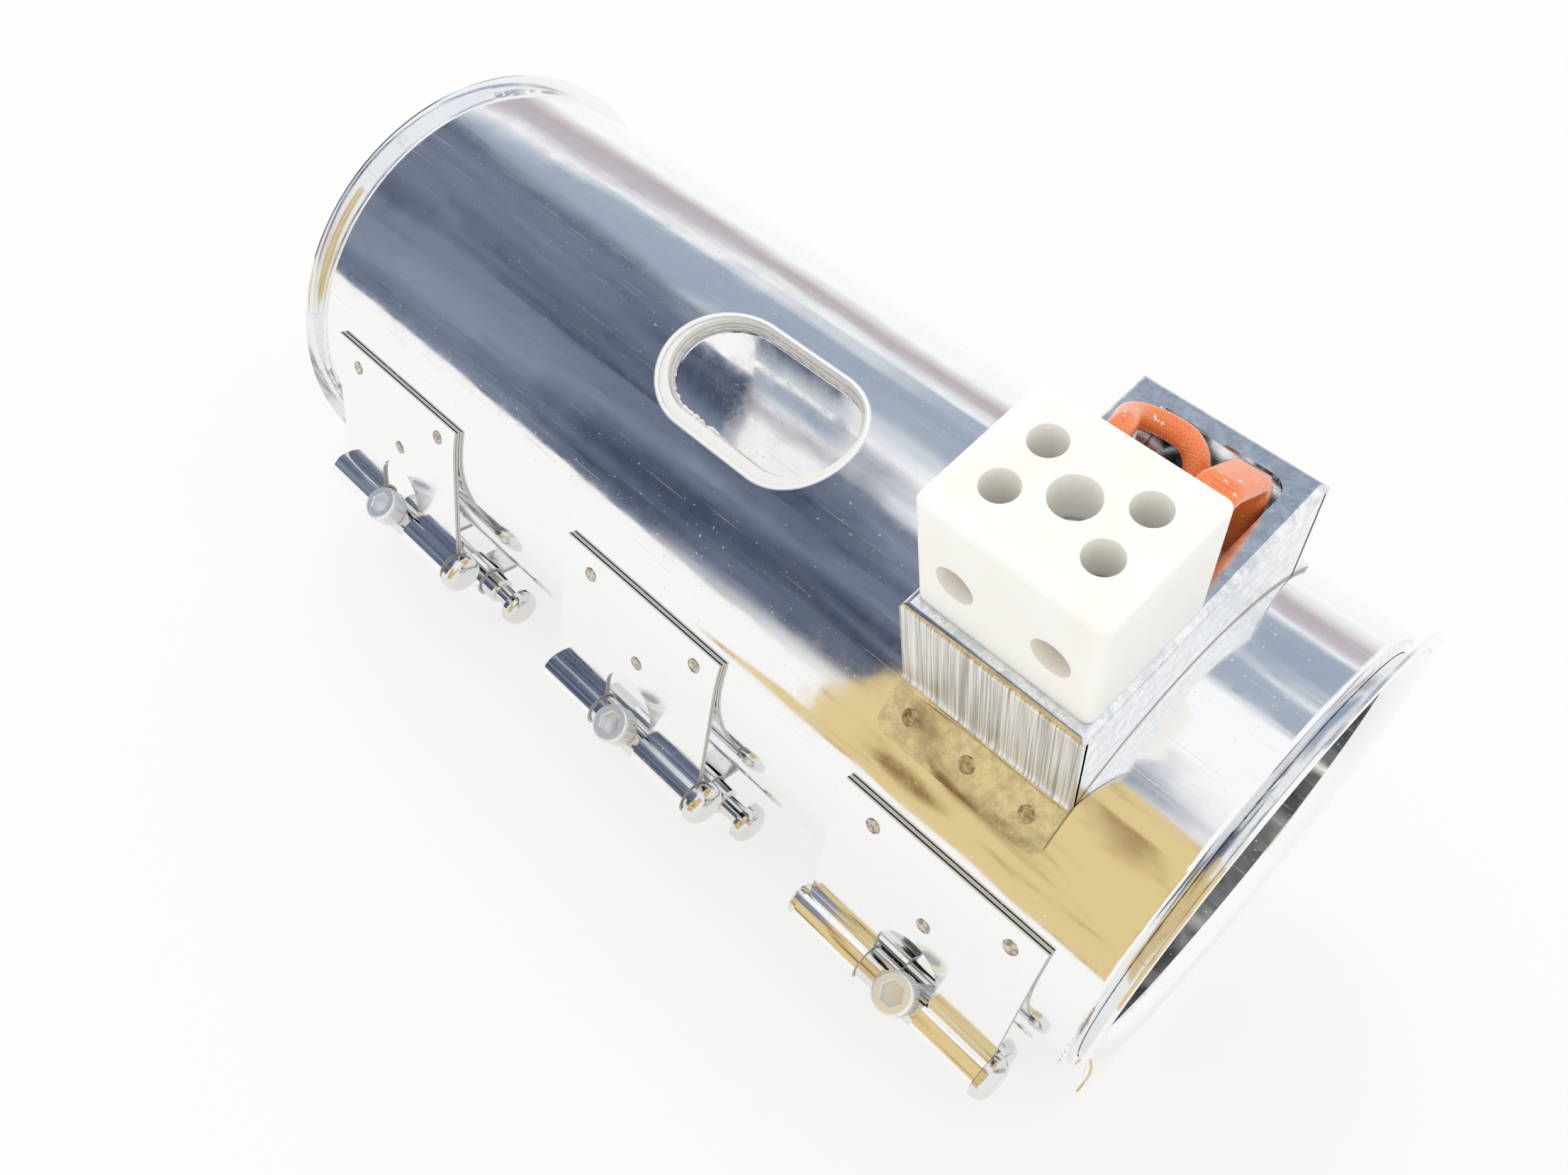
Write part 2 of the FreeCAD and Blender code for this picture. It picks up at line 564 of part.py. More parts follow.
def terminal_box():
    half = BOX_LENGTH / 2
    sheet = BOX_SHEET
    outer = rounded_block(Vec(BOX_X - half, BOX_NEAR_Y, SHROUD_RADIUS / 2),
                          Vec(BOX_X + half, BOX_FAR_Y, BOX_TOP), BOX_BEND)
    inner = rounded_block(Vec(BOX_X - half + sheet, BOX_NEAR_Y + sheet, SHROUD_RADIUS / 3),
                          Vec(BOX_X + half - sheet, BOX_FAR_Y - sheet, BOX_TOP - sheet), BOX_BEND - sheet)
    saddle = cylinder(BOX_SEAT, BODY_LENGTH, Vec(-BODY_LENGTH / 2, 0, 0), AXIS)
    body = outer.cut([inner, saddle]).fuse([box_foot(BOX_NEAR_Y), box_foot(BOX_FAR_Y)]).removeSplitter()
    body = bent_root(bent_root(body, BOX_NEAR_Y), BOX_FAR_Y)
    cuts = [hatch(), cylinder(FIXING_SCREW_RADIUS + PASS_CLEARANCE, sheet * 4,
                              Vec(BLOCK_X, SCREW_ROW_Y, BOX_TOP - sheet * 2))]
    for x in (BOX_X - half - 1, BOX_X + half - sheet):
        for y in (BOX_NEAR_Y + sheet, BOX_FAR_Y - sheet - BOX_SEAM):
            cuts.append(box_between(Vec(x, y, 0), Vec(x + sheet + 1, y + BOX_SEAM, BOX_TOP - BOX_BEND)))
    return body.cut(cuts)


def hatch():
    opening = box_between(Vec(BOX_X - HATCH_LENGTH / 2, HATCH_NEAR_Y, BOX_TOP - BOX_SHEET * 3),
                          Vec(BOX_X + HATCH_LENGTH / 2, HATCH_FAR_Y, BOX_TOP + BOX_SHEET))
    uprights = [e for e in opening.Edges if e.BoundBox.ZLength > BOX_SHEET]
    return opening.makeFillet(HATCH_CORNER, uprights)


def ceramic_block():
    half = BLOCK_LENGTH / 2
    block = box_between(Vec(BLOCK_X - half, BLOCK_NEAR_Y, BLOCK_BASE),
                        Vec(BLOCK_X + half, BLOCK_FAR_Y, BLOCK_TOP))
    block = block.makeFillet(BLOCK_EDGE, [e for e in block.Edges if e.BoundBox.ZLength > BLOCK_HEIGHT / 2])
    rims = [e for e in block.Edges if abs(e.BoundBox.ZMin - BLOCK_TOP) < 1e-6]
    block = block.makeFillet(BLOCK_EDGE / 2, rims)
    cuts = [cylinder(FIXING_HOLE_RADIUS, FIXING_HOLE_DEPTH + 1, Vec(BLOCK_X, SCREW_ROW_Y, FIXING_SEAT)),
            cylinder(FIXING_SCREW_RADIUS + PASS_CLEARANCE, BLOCK_HEIGHT,
                     Vec(BLOCK_X, SCREW_ROW_Y, BLOCK_BASE - 1))]
    margin = POCKET_CLEARANCE
    for x in POLE_XS:
        side = BAR_WIDTH / 2 + margin
        cuts.append(box_between(Vec(x - side, BAR_NEAR_Y - margin, BAR_TOP - BAR_HEIGHT - margin),
                                Vec(x + side, BLOCK_FAR_Y + 1, BAR_TOP + margin)))
        cuts.append(cylinder(CABLE_HOLE_RADIUS, BAR_NEAR_Y - BLOCK_NEAR_Y + 1,
                             Vec(x, BLOCK_NEAR_Y - 1, WIRE_Z), Vec(0, 1, 0)))
        for y in SCREW_YS:
            cuts.append(cylinder(ACCESS_RADIUS, BLOCK_TOP, Vec(x, y, BAR_TOP)))
    return block.cut(cuts)


def terminal_bar(x):
    """Brass bar bored lengthways for the wires and tapped for its two screws."""
    bar = box_between(Vec(x - BAR_WIDTH / 2, BAR_NEAR_Y, BAR_TOP - BAR_HEIGHT),
                      Vec(x + BAR_WIDTH / 2, BAR_NEAR_Y + BAR_LENGTH, BAR_TOP))
    cuts = [cylinder(BAR_BORE_RADIUS, BAR_LENGTH + 2, Vec(x, BAR_NEAR_Y - 1, WIRE_Z), Vec(0, 1, 0))]
    for y in SCREW_YS:
        cuts.append(cylinder(TERMINAL_SCREW_RADIUS + THREAD_CLEARANCE, BAR_HEIGHT / 2 + 1, Vec(x, y, WIRE_Z)))
    return bar.cut(cuts)


def slotted_screw(centre, radius, length, head_radius, head_height, slot_width, slot_depth):
    """A cheese-head screw pointing down, its head seated at the given centre."""
    head = cylinder(head_radius, head_height, centre)
    rims = [e for e in head.Edges if abs(e.BoundBox.ZMin - centre.z - head_height) < 1e-6]
    head = head.makeFillet(head_height / 6, rims)
    shank = cylinder(radius, length, centre - Vec(0, 0, length))
    slot = box_between(centre + Vec(-head_radius * 2, -slot_width / 2, head_height - slot_depth),
                       centre + Vec(head_radius * 2, slot_width / 2, head_height * 2))
    return head.fuse(shank).cut(slot)


def terminal_screw(x, y):
    seat = Vec(x, y, BAR_TOP + TERMINAL_STANDOFF)
    length = seat.z - WIRE_Z - CONDUCTOR_RADIUS - GRIP_GAP
    return slotted_screw(seat, TERMINAL_SCREW_RADIUS, length, TERMINAL_HEAD_RADIUS, TERMINAL_HEAD_HEIGHT,
                         TERMINAL_SLOT_WIDTH, TERMINAL_SLOT_DEPTH)


def fixing_screw():
    seat = Vec(BLOCK_X, SCREW_ROW_Y, FIXING_SEAT + LAYER_GAP)
    length = seat.z - (BOX_TOP - BOX_SHEET - LAYER_GAP - NUT_HEIGHT - NUT_PROJECTION)
    return slotted_screw(seat, FIXING_SCREW_RADIUS, length, FIXING_HEAD_RADIUS, FIXING_HEAD_HEIGHT,
                         TERMINAL_SLOT_WIDTH, TERMINAL_SLOT_DEPTH)


def fixing_nut():
    base = Vec(BLOCK_X, SCREW_ROW_Y, BOX_TOP - BOX_SHEET - LAYER_GAP - NUT_HEIGHT)
    nut = hexagon_prism(NUT_FLATS, NUT_HEIGHT, base, Vec(0, 0, 1))
    return nut.cut(cylinder(FIXING_SCREW_RADIUS + THREAD_CLEARANCE, NUT_HEIGHT * 3,
                            base - Vec(0, 0, NUT_HEIGHT)))


def rounded_path(points, radius):
    """A wire through the points whose corners are tangent arcs of one radius."""
    edges = []
    here = points[0]
    for before, corner, after in zip(points, points[1:], points[2:]):
        into = (corner - before).normalize()
        out = (after - corner).normalize()
        half = into.getAngle(out) / 2
        reach = radius * math.tan(half)
        start, end = corner - into * reach, corner + out * reach
        inward = (out - into).normalize()
        middle = corner + inward * (radius / math.cos(half) - radius)
        edges.append(Part.LineSegment(here, start).toShape())
        edges.append(Part.Arc(start, middle, end).toShape())
        here = end
    edges.append(Part.LineSegment(here, points[-1]).toShape())
    return Part.Wire(edges)


def lead_points(pole):
    """Centreline of a lead: up out of the wall, over in a loop under the hatch, and into the bar."""
    x, y, goal = TAIL_XS[pole], TAIL_YS[pole], POLE_XS[pole]
    inner = BAR_NEAR_Y + BAR_LENGTH - CONDUCTOR_GRIP
    points = [Vec(x, y, SHROUD_RADIUS / 2), Vec(x, y, SHROUD_RADIUS + LEAD_START_RISE)]
    if pole == 0:
        height = BOX_TOP + LOOP_RISE
        points += [Vec(x, LOOP_FAR_Y, height), Vec(BOX_X + LOOP_LEFT_DX, LOOP_FAR_Y, height)]
    else:
        points.append(Vec(x, BEND_FAR_Y, BOX_TOP + BEND_RISE))
    return points + [Vec(goal, LEAD_BACK_Y, WIRE_Z), Vec(goal, inner, WIRE_Z)]


def swept(path, section):
    return Part.Wire(path).makePipeShell([section], True, False)


def round_section(centre, radius):
    return Part.Wire([Part.makeCircle(radius, centre, Vec(0, 0, 1))])


def flat_section(centre):
    section = obround_prism(FLAT_SLEEVE_WIDTH, FLAT_SLEEVE_THICK, 0, 1)
    face = min(section.Faces, key=lambda f: f.BoundBox.ZMax)
    wire = face.OuterWire
    wire.translate(centre)
    return wire


def conductor(pole):
    """The bare wire, from the ribbon's tail into the brass bar."""
    points = lead_points(pole)
    wire = swept(rounded_path(points, LEAD_BEND), round_section(points[0], CONDUCTOR_RADIUS))
    return wire.cut(cylinder(RIBBON_OUTER + SEAT_CLEARANCE, BODY_LENGTH, Vec(-BODY_LENGTH / 2, 0, 0), AXIS))


def lead_sleeve(pole):
    """Woven glass sleeve over the conductor, round on one lead and pressed flat on the other."""
    points = lead_points(pole)
    path = rounded_path(points, LEAD_BEND)
    section = flat_section(points[0]) if pole else round_section(points[0], ROUND_SLEEVE_RADIUS)
    bore = swept(path, round_section(points[0], CONDUCTOR_RADIUS + CONDUCTOR_CLEARANCE))
    trim = cylinder(OUTER_MICA_INNER, BODY_LENGTH, Vec(-BODY_LENGTH / 2, 0, 0), AXIS)
    end = box_between(Vec(BOX_X - BLOCK_LENGTH, BLOCK_NEAR_Y, BOX_TOP),
                      Vec(BOX_X + BLOCK_LENGTH, BLOCK_FAR_Y + SLEEVE_END_GAP, BLOCK_TOP))
    return swept(path, section).cut([bore, trim, end])


def rotate_to_rest(shape):
    shape.rotate(ORIGIN, AXIS, REST_TURN)
    return shape


def save(name, shape):
    shape = rotate_to_rest(shape)
    if not shape.isValid():
        raise ValueError(name + " is not a valid shape")
    shape.exportStep("parts/" + name + ".step")
    print(name, "solids", len(shape.Solids), "volume", round(shape.Volume, 1))


def main():
    os.makedirs("parts", exist_ok=True)
    save("outer_shroud", outer_shroud())
    save("inner_sleeve", inner_sleeve())
    save("fibre_blanket", insulation(BLANKET_INNER, BLANKET_OUTER, BLANKET_MARGIN, True))
    save("outer_mica", insulation(OUTER_MICA_INNER, OUTER_MICA_OUTER, 0, True))
    save("element_core", insulation(CORE_INNER, CORE_OUTER, 0, False))
    save("inner_mica", insulation(INNER_MICA_INNER, INNER_MICA_OUTER, 0, False))
    save("resistance_ribbon", resistance_ribbon())
    for i, x in enumerate(CLAMP_XS):
        name = str(i + 1)
        screw_x = x + SCREW_SHIFTS[i]
        save("near_leaf_" + name, leaf(x, NOTCH_SHIFTS[i], 1))
        save("far_leaf_" + name, leaf(x, NOTCH_SHIFTS[i], -1))
        save("near_pin_" + name,
             clamp_pin(x + NEAR_PIN_SHIFTS[i], screw_x, 1, CAP_SCREW_RADIUS + PASS_CLEARANCE))
        save("far_pin_" + name,
             clamp_pin(x + FAR_PIN_SHIFTS[i], screw_x, -1, CAP_SCREW_RADIUS + THREAD_CLEARANCE))
        save("clamp_screw_" + name, clamp_screw(screw_x))
    save("terminal_box", terminal_box())
    save("ceramic_block", ceramic_block())
    save("fixing_screw", fixing_screw())
    save("fixing_nut", fixing_nut())
    for i, x in enumerate(POLE_XS):
        save("terminal_bar_%d" % (i + 1), terminal_bar(x))
        save("lead_conductor_%d" % (i + 1), conductor(i))
        save("lead_sleeve_%d" % (i + 1), lead_sleeve(i))
        for j, y in enumerate(SCREW_YS):
            save("terminal_screw_%d" % (2 * i + j + 1), terminal_screw(x, y))


main()
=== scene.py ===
import math

import bpy
from bpy.props import FloatProperty, FloatVectorProperty, IntProperty
from mathutils import Euler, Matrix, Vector


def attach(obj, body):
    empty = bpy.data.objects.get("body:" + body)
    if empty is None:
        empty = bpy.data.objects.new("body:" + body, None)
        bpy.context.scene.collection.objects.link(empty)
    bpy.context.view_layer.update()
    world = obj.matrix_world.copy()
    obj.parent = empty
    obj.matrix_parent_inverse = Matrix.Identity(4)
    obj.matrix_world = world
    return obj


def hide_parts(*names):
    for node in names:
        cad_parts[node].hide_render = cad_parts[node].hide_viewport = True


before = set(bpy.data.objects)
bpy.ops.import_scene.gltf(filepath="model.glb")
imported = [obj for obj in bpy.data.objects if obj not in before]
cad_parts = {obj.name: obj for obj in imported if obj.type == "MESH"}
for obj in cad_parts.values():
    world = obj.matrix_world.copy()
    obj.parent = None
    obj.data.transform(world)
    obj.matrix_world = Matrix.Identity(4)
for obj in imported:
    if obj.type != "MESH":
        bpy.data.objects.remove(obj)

bl_info = {
    "name": "Band Heater",
    "version": (1, 0, 0),
    "blender": (4, 5, 0),
    "location": "View3D > Sidebar > Heater",
    "description": "Gives a packed band heater its finishes, small details and studio",
    "category": "Object",
}

# The camera stands where the photograph was taken from: place in metres, turn in degrees, and a
# lens for a sensor 36 mm wide.
CAMERA_PLACE = (0.15698, -0.18954, 0.24321)
CAMERA_TURN = (42.1729, -4.5862, 45.6428)
CAMERA_LENS = 30.047
SENSOR_WIDTH = 36.0

# The heater was drawn with its terminal box upright. It lies on the floor, this far below its
# bore's axis in metres, turned this far back about it in degrees.
FLOOR_Z = -0.0634
REST_TURN = 15.0138

# Places on the upright heater: millimetres, and degrees about the axis towards +Y.
MM = 0.001
SHROUD_RADIUS = 60.0
CLAMP_XS = (-97.6, 2.6, 95.6)
SCREW_XS = (-97.6, 3.6, 99.0)
NEAR_PIN = (72.0, -99.8)
FAR_PIN = (75.0, -125.4)
EYE_PLANE = 62.3
LEAF_SKIN = 61.55
LEAF_FOLD_DEPTH = 0.85
LEAF_LAP = 9.5
LEAF_WIDTH = 54.0
FAR_LEAF_WIDTH = 32.0
WELD_PLACES = ((-17.05, 5.6), (19.9, 5.4), (1.6, 20.6))
BOX_X = 89.6
FOOT_SKIN = 61.05
FOOT_WELD_ANGLES = (-40.5, 43.0)
FOOT_WELD_STEP = 15.0
BOX_NEAR_WALL = -34.8
SLOT = (55.0, 31.4, -7.5)
SLEEVE_SLOT = (50.6, 26.6, -6.3)

# The M6 clamp screws in millimetres: seat above the pin's axis, head, socket, shank, thread and
# knurl. The thread starts THREAD_TIP above the tip and is THREAD_RUNOUT shorter than its shank.
SCREW_SEAT = 3.55
SCREW_LENGTH = 40.0
SCREW_EDGE = 0.6
HEAD_RADIUS = 4.86
HEAD_HEIGHT = 6.0
SOCKET_FLATS = 5.0
SOCKET_DEPTH = 3.2
SHANK_RADIUS = 2.98
PLAIN_LENGTH = 14.0
ROOT_RADIUS = 2.45
THREAD_DEPTH = 0.42
THREAD_TIP = 1.2
THREAD_RUNOUT = 1.5
KNURL_RADIUS = 4.82
KNURL_RISE = 0.2
KNURL_LENGTH = 4.7
KNURL_MIDDLE = 2.8

# The torn fibre in the slot, in millimetres: how far out it lies, how much longer and wider its loop
# is than the lining's slot, its roll and its tufts. TORN_MOST says where it is torn most, as a share
# of the way round, and TUFT_SIZES the tufts' least size and what that side adds, as shares too.
TORN_EDGE = 56.6
TORN_REACH = 0.5
TORN_MOST = 0.04
TORN_ROLL = 0.3
TORN_UNEVENNESS = 1.2
TUFT_RADIUS = 1.0
TUFT_SIZES = (0.3, 1.1)
TUFT_SEED = 4
LOOP_POINTS = 160

# Handling scratches over the unrolled sheet: each way in degrees from the tube's axis, with the
# spacing of its lines in millimetres. They are drawn coarser than real ones, so that they show.
# A line is SCRATCH_STRETCH times as long as its spacing.
SCRATCH_WAYS = ((62, 0.24), (-38, 0.3), (14, 0.27), (108, 0.33), (-75, 0.25))
SCRATCH_STRETCH = 110

# The leads' routes on the upright heater, with the radius of their bends.
LEAD_BEND = 6.5
LEAD_START = 57.6
LEAD_END_Y = 1.7
LEAD_ROUTES = (
    ((91.2, 12.0, LEAD_START), (91.2, 12.0, 66.0), (91.2, 25.6, 83.0), (74.0, 25.6, 83.0),
     (79.05, 14.0, 91.9), (79.05, LEAD_END_Y, 91.9)),
    ((99.95, 22.0, LEAD_START), (99.95, 22.0, 66.0), (99.95, 27.5, 82.5), (99.95, 14.0, 91.9),
     (99.95, LEAD_END_Y, 91.9)))
# Each sleeve's radius, and how far its two halves are pressed apart.
LEAD_SHAPES = ((2.6, 0.0), (1.9, 2.6))

# The studio in metres: half the table's width, the share of it that glows, the soft light, and the
# warm screens that only bright metal sees.
TABLE_REACH = 6
TABLE_GLOW = 0.75
KEY_PLACE = (-0.6, 0.5, 1.3)
KEY_SIZE = 1.2
KEY_POWER = 3.0
SCREEN_FOOT = FLOOR_Z + MM
SCREENS = {
    "Ochre_Screen_Foot": [(-0.09, -0.24, SCREEN_FOOT), (-0.06, -0.32, SCREEN_FOOT),
                          (0.16, -0.32, SCREEN_FOOT), (0.16, -0.24, SCREEN_FOOT)],
    "Ochre_Screen": [(-0.06, -0.32, SCREEN_FOOT), (0.16, -0.32, SCREEN_FOOT),
                     (0.16, -0.34, 0.36), (-0.03, -0.34, 0.36)],
    "Ochre_Screen_Near": [(0.05, -0.22, 0.0), (0.16, -0.22, 0.0), (0.16, -0.09, 0.075),
                          (0.05, -0.09, 0.075)]}

# The room's bands as bright metal mirrors them, by height.
ROOM_BANDS = ((0.10, "FFFFFF"), (0.30, "BEB2B8"), (0.42, "C4BEC4"), (0.50, "FBFBFC"),
              (0.60, "A4B0C0"), (0.76, "9CA9BB"), (0.90, "FFFFFF"))

# The families that a node's kind can belong to, and how every colour setting is set up.
NODE_FAMILIES = ("ShaderNode", "GeometryNode", "FunctionNode", "")
COLOUR = {"subtype": "COLOR", "size": 4, "min": 0, "max": 1}


def resting(x, y, z):
    """Where a point of the upright heater, in millimetres, lies at rest, in metres."""
    sin, cos = math.sin(math.radians(REST_TURN)), math.cos(math.radians(REST_TURN))
    return Vector((x, y * cos - z * sin, y * sin + z * cos)) * MM


def resting_way(y, z):
    """A direction square to the tube's axis, turned the same way."""
    return resting(0, y, z).normalized()


def on_circle(radius, angle):
    """The Y and Z of a point on a circle round the axis, its angle from the top in degrees."""
    return radius * math.sin(math.radians(angle)), radius * math.cos(math.radians(angle))


def linear(code):
    """The scene-linear colour of a hex code such as 8A9BB0."""
    parts = [int(code[i:i + 2], 16) / 255 for i in (0, 2, 4)]
    return [p / 12.92 if p <= 0.04045 else ((p + 0.055) / 1.055) ** 2.4 for p in parts] + [1.0]


def add_node(tree, kind, inputs=None, **settings):
    """Adds one node, named without its family, sets its options and fills its inputs with values,
    sockets or nodes' first outputs. A Mix node has numbers at inputs 2 and 3, vectors at 4 and 5,
    colours at 6 and 7, and mixes colours where it is given any."""
    node = tree.nodes.new(next(f + kind for f in NODE_FAMILIES if hasattr(bpy.types, f + kind)))
    if kind == "Mix" and 6 in inputs:
        node.data_type = "RGBA"
    for name, value in settings.items():
        setattr(node, name, value)
    for name, value in (inputs or {}).items():
        if isinstance(value, bpy.types.Node):
            value = value.outputs[0]
        if isinstance(value, bpy.types.NodeSocket):
            tree.links.new(value, node.inputs[name])
        else:
            node.inputs[name].default_value = value
    return node


def new_material(name):
    """An empty material, its tree and the object coordinates that its patterns read, in metres."""
    material = bpy.data.materials.new(name)
    material.use_nodes = True
    tree = material.node_tree
    tree.nodes.clear()
    return material, tree, add_node(tree, "TexCoord").outputs["Object"]


def close_material(material, inputs):
    """Ends a material in one shader with the given inputs, and returns it."""
    tree = material.node_tree
    shader = add_node(tree, "BsdfPrincipled", inputs)
    add_node(tree, "OutputMaterial", {"Surface": shader})
    return material


def paint(material, slot, *starts):
    """Gives a material to the nodes whose names start so. The slot, the record's slot that the
    material stands for, is not used."""
    for name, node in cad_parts.items():
        if name.startswith(starts):
            node.data.materials.clear()
            node.data.materials.append(material)


def patches(tree, place, size, levels, detail, roughness=0.5, spread=(0.0, 1.0)):
    """Soft patches of a size in millimetres: noise between two levels, spread over two values."""
    cloud = add_node(tree, "TexNoise", {
        "Vector": place, "Scale": 1 / (size * MM), "Detail": detail, "Roughness": roughness})
    return add_node(tree, "MapRange", {
        "Value": cloud, "From Min": levels[0], "From Max": levels[1],
        "To Min": spread[0], "To Max": spread[1]})


def from_axis(tree, place):
    """The way from the tube's axis out to a place, and its length."""
    parts = add_node(tree, "SeparateXYZ", {"Vector": place}).outputs
    spoke = add_node(tree, "CombineXYZ", {"Y": parts["Y"], "Z": parts["Z"]})
    return spoke, add_node(tree, "VectorMath", {0: spoke}, operation="LENGTH").outputs["Value"]


def scratches(tree, unrolled, turn, spacing, share):
    """Long fine lines along one direction, 1 on a line and 0 beside it, of a spacing in
    millimetres."""
    laid = add_node(tree, "Mapping", {
        "Vector": unrolled, "Rotation": (0, 0, math.radians(turn)),
        "Scale": (1 / (SCRATCH_STRETCH * spacing * MM), 1 / (spacing * MM), 1)})
    lines = add_node(tree, "TexNoise", {"Vector": laid, "Scale": 1.0, "Detail": 0.0})
    return add_node(tree, "MapRange", {"Value": lines, "From Min": share, "From Max": share + 0.05})


def sheet_surface(tree, place, gloss, wear):
    """Roughness and normal of bright rolled sheet: slow waves from rolling, mottled haze, and
    handling scratches that run several ways over the unrolled sheet."""
    hazy = patches(tree, place, 7, (0.35, 0.68), 8.0, 0.75, (gloss * 0.6, gloss * 2.2))
    parts = add_node(tree, "SeparateXYZ", {"Vector": place}).outputs
    turn = add_node(tree, "Math", {0: parts["Y"], 1: parts["Z"]}, operation="ARCTAN2")
    arc = add_node(tree, "Math", {0: turn, 1: SHROUD_RADIUS * MM}, operation="MULTIPLY")
    unrolled = add_node(tree, "CombineXYZ", {"X": parts["X"], "Y": arc})
    marks = patches(tree, place, 0.7, (0.79, 0.84), 0.0)
    for way, spacing in SCRATCH_WAYS:
        lines = scratches(tree, unrolled, way, spacing, 0.85 - 0.03 * wear)
        marks = add_node(tree, "Math", {0: marks, 1: lines}, operation="MAXIMUM")
    rough = add_node(tree, "Math", {0: marks, 1: 0.35, 2: hazy}, operation="MULTIPLY_ADD")
    waves = add_node(tree, "TexNoise", {"Vector": place, "Scale": 1 / (24 * MM), "Detail": 1.5})
    wavy = add_node(tree, "Bump", {"Height": waves, "Strength": 1.0, "Distance": 0.25 * MM})
    return rough, wavy


def bright_sheet(name, colour, gloss, wear):
    """Bright rolled stainless sheet: almost a mirror, its reflections bent by slow waves and
    crossed by fine pale scratches."""
    material, tree, place = new_material(name)
    rough, wavy = sheet_surface(tree, place, gloss, wear)
    return close_material(material, {
        "Base Color": colour, "Metallic": 1.0, "Roughness": rough, "Normal": wavy})


def leaf_sheet(colour, gloss):
    """Bright stainless strip folded double: its sheared edges are satin, with painted shade, a dark
    band, along the gap between the fold's two layers where the leaf ends on the shroud."""
    material, tree, place = new_material("Bright_Folded_Stainless_Leaf")
    rough, wavy = sheet_surface(tree, place, gloss, 1.2)
    ended = 0.0
    for (circle, pin_angle), side in ((NEAR_PIN, 1), (FAR_PIN, -1)):
        end = pin_angle + side * (math.degrees(math.acos(EYE_PLANE / circle)) + LEAF_LAP)
        # On the end's own side of the tube, and past the plane in which it is sheared off.
        limits = ((resting_way(*on_circle(1, end)), 50),
                  (resting_way(*on_circle(side, end + 90)), -0.06))
        past = []
        for way, limit in limits:
            reach = add_node(tree, "VectorMath", {0: place, 1: way}, operation="DOT_PRODUCT")
            past.append(add_node(tree, "Math", {0: reach.outputs["Value"], 1: limit * MM},
                                 operation="GREATER_THAN"))
        ended = add_node(tree, "Math", {0: past[0], 1: past[1], 2: ended}, operation="MULTIPLY_ADD")
    faces = add_node(tree, "NewGeometry").outputs["True Normal"]
    across = add_node(tree, "SeparateXYZ", {"Vector": faces}).outputs["X"]
    across = add_node(tree, "Math", {0: across}, operation="ABSOLUTE")
    across = add_node(tree, "Math", {0: across, 1: 0.9}, operation="GREATER_THAN")
    fold = (LEAF_SKIN - LEAF_FOLD_DEPTH) * MM
    gap = add_node(tree, "Math", {0: from_axis(tree, place)[1], 1: fold}, operation="SUBTRACT")
    gap = add_node(tree, "Math", {0: gap}, operation="ABSOLUTE")
    # Painted shade: on the sheared end, a dark band within 0.24 mm of the fold stands in for the
    # shade in the gap between the two layers.
    layer = add_node(tree, "MapRange", {"Value": gap, "From Min": 0.24 * MM, "From Max": 0.32 * MM})
    edge = add_node(tree, "Mix", {
        "Factor": layer, 6: linear("3B3D40"), 7: linear("F6F6F4")}).outputs[2]
    edge = add_node(tree, "Mix", {"Factor": across, 6: edge, 7: linear("DADAD8")}).outputs[2]
    sheared = add_node(tree, "Math", {0: ended, 1: across}, operation="MAXIMUM")
    tone = add_node(tree, "Mix", {"Factor": sheared, 6: colour, 7: edge})
    satin = add_node(tree, "Mix", {"Factor": sheared, 2: rough, 3: 0.55})
    metal = add_node(tree, "MapRange", {"Value": sheared, "To Min": 1.0, "To Max": 0.3})
    return close_material(material, {
        "Base Color": tone.outputs[2], "Metallic": metal, "Roughness": satin, "Normal": wavy})


def shroud_sheet(colour, gloss, rim):
    """Bright rolled stainless sheet whose slot has a dressed edge: a pale satin rim round the
    opening."""
    material, tree, place = new_material("Bright_Rolled_Stainless_Shroud")
    rough, wavy = sheet_surface(tree, place, gloss, 1.0)
    length, width, angle = SLOT
    flat = add_node(tree, "Mapping", {
        "Vector": place, "Rotation": (math.radians(angle - REST_TURN), 0, 0)})
    parts = add_node(tree, "SeparateXYZ", {"Vector": flat}).outputs
    along = add_node(tree, "Math", {0: parts["X"]}, operation="ABSOLUTE")
    past = add_node(tree, "Math", {0: along, 1: (length - width) / 2 * MM}, operation="SUBTRACT")
    past = add_node(tree, "Math", {0: past, 1: 0.0}, operation="MAXIMUM")
    off = add_node(tree, "CombineXYZ", {"X": past, "Y": parts["Y"]})
    away = add_node(tree, "VectorMath", {0: off}, operation="LENGTH").outputs["Value"]
    edge = width / 2 + rim
    ring = add_node(tree, "MapRange", {
        "Value": away, "From Min": edge * MM, "From Max": (edge - 0.5) * MM})
    above = add_node(tree, "Math", {0: parts["Z"], 1: 0.0}, operation="GREATER_THAN")
    ring = add_node(tree, "Math", {0: ring, 1: above}, operation="MULTIPLY")
    rough = add_node(tree, "Math", {0: ring, 1: 0.45, 2: rough}, operation="MULTIPLY_ADD")
    tone = add_node(tree, "Mix", {"Factor": ring, 6: colour, 7: linear("FCFCFB")})
    scuffed = add_node(tree, "MapRange", {"Value": ring, "To Min": 1.0, "To Max": 0.2})
    return close_material(material, {
        "Base Color": tone.outputs[2], "Metallic": scuffed, "Roughness": rough, "Normal": wavy})


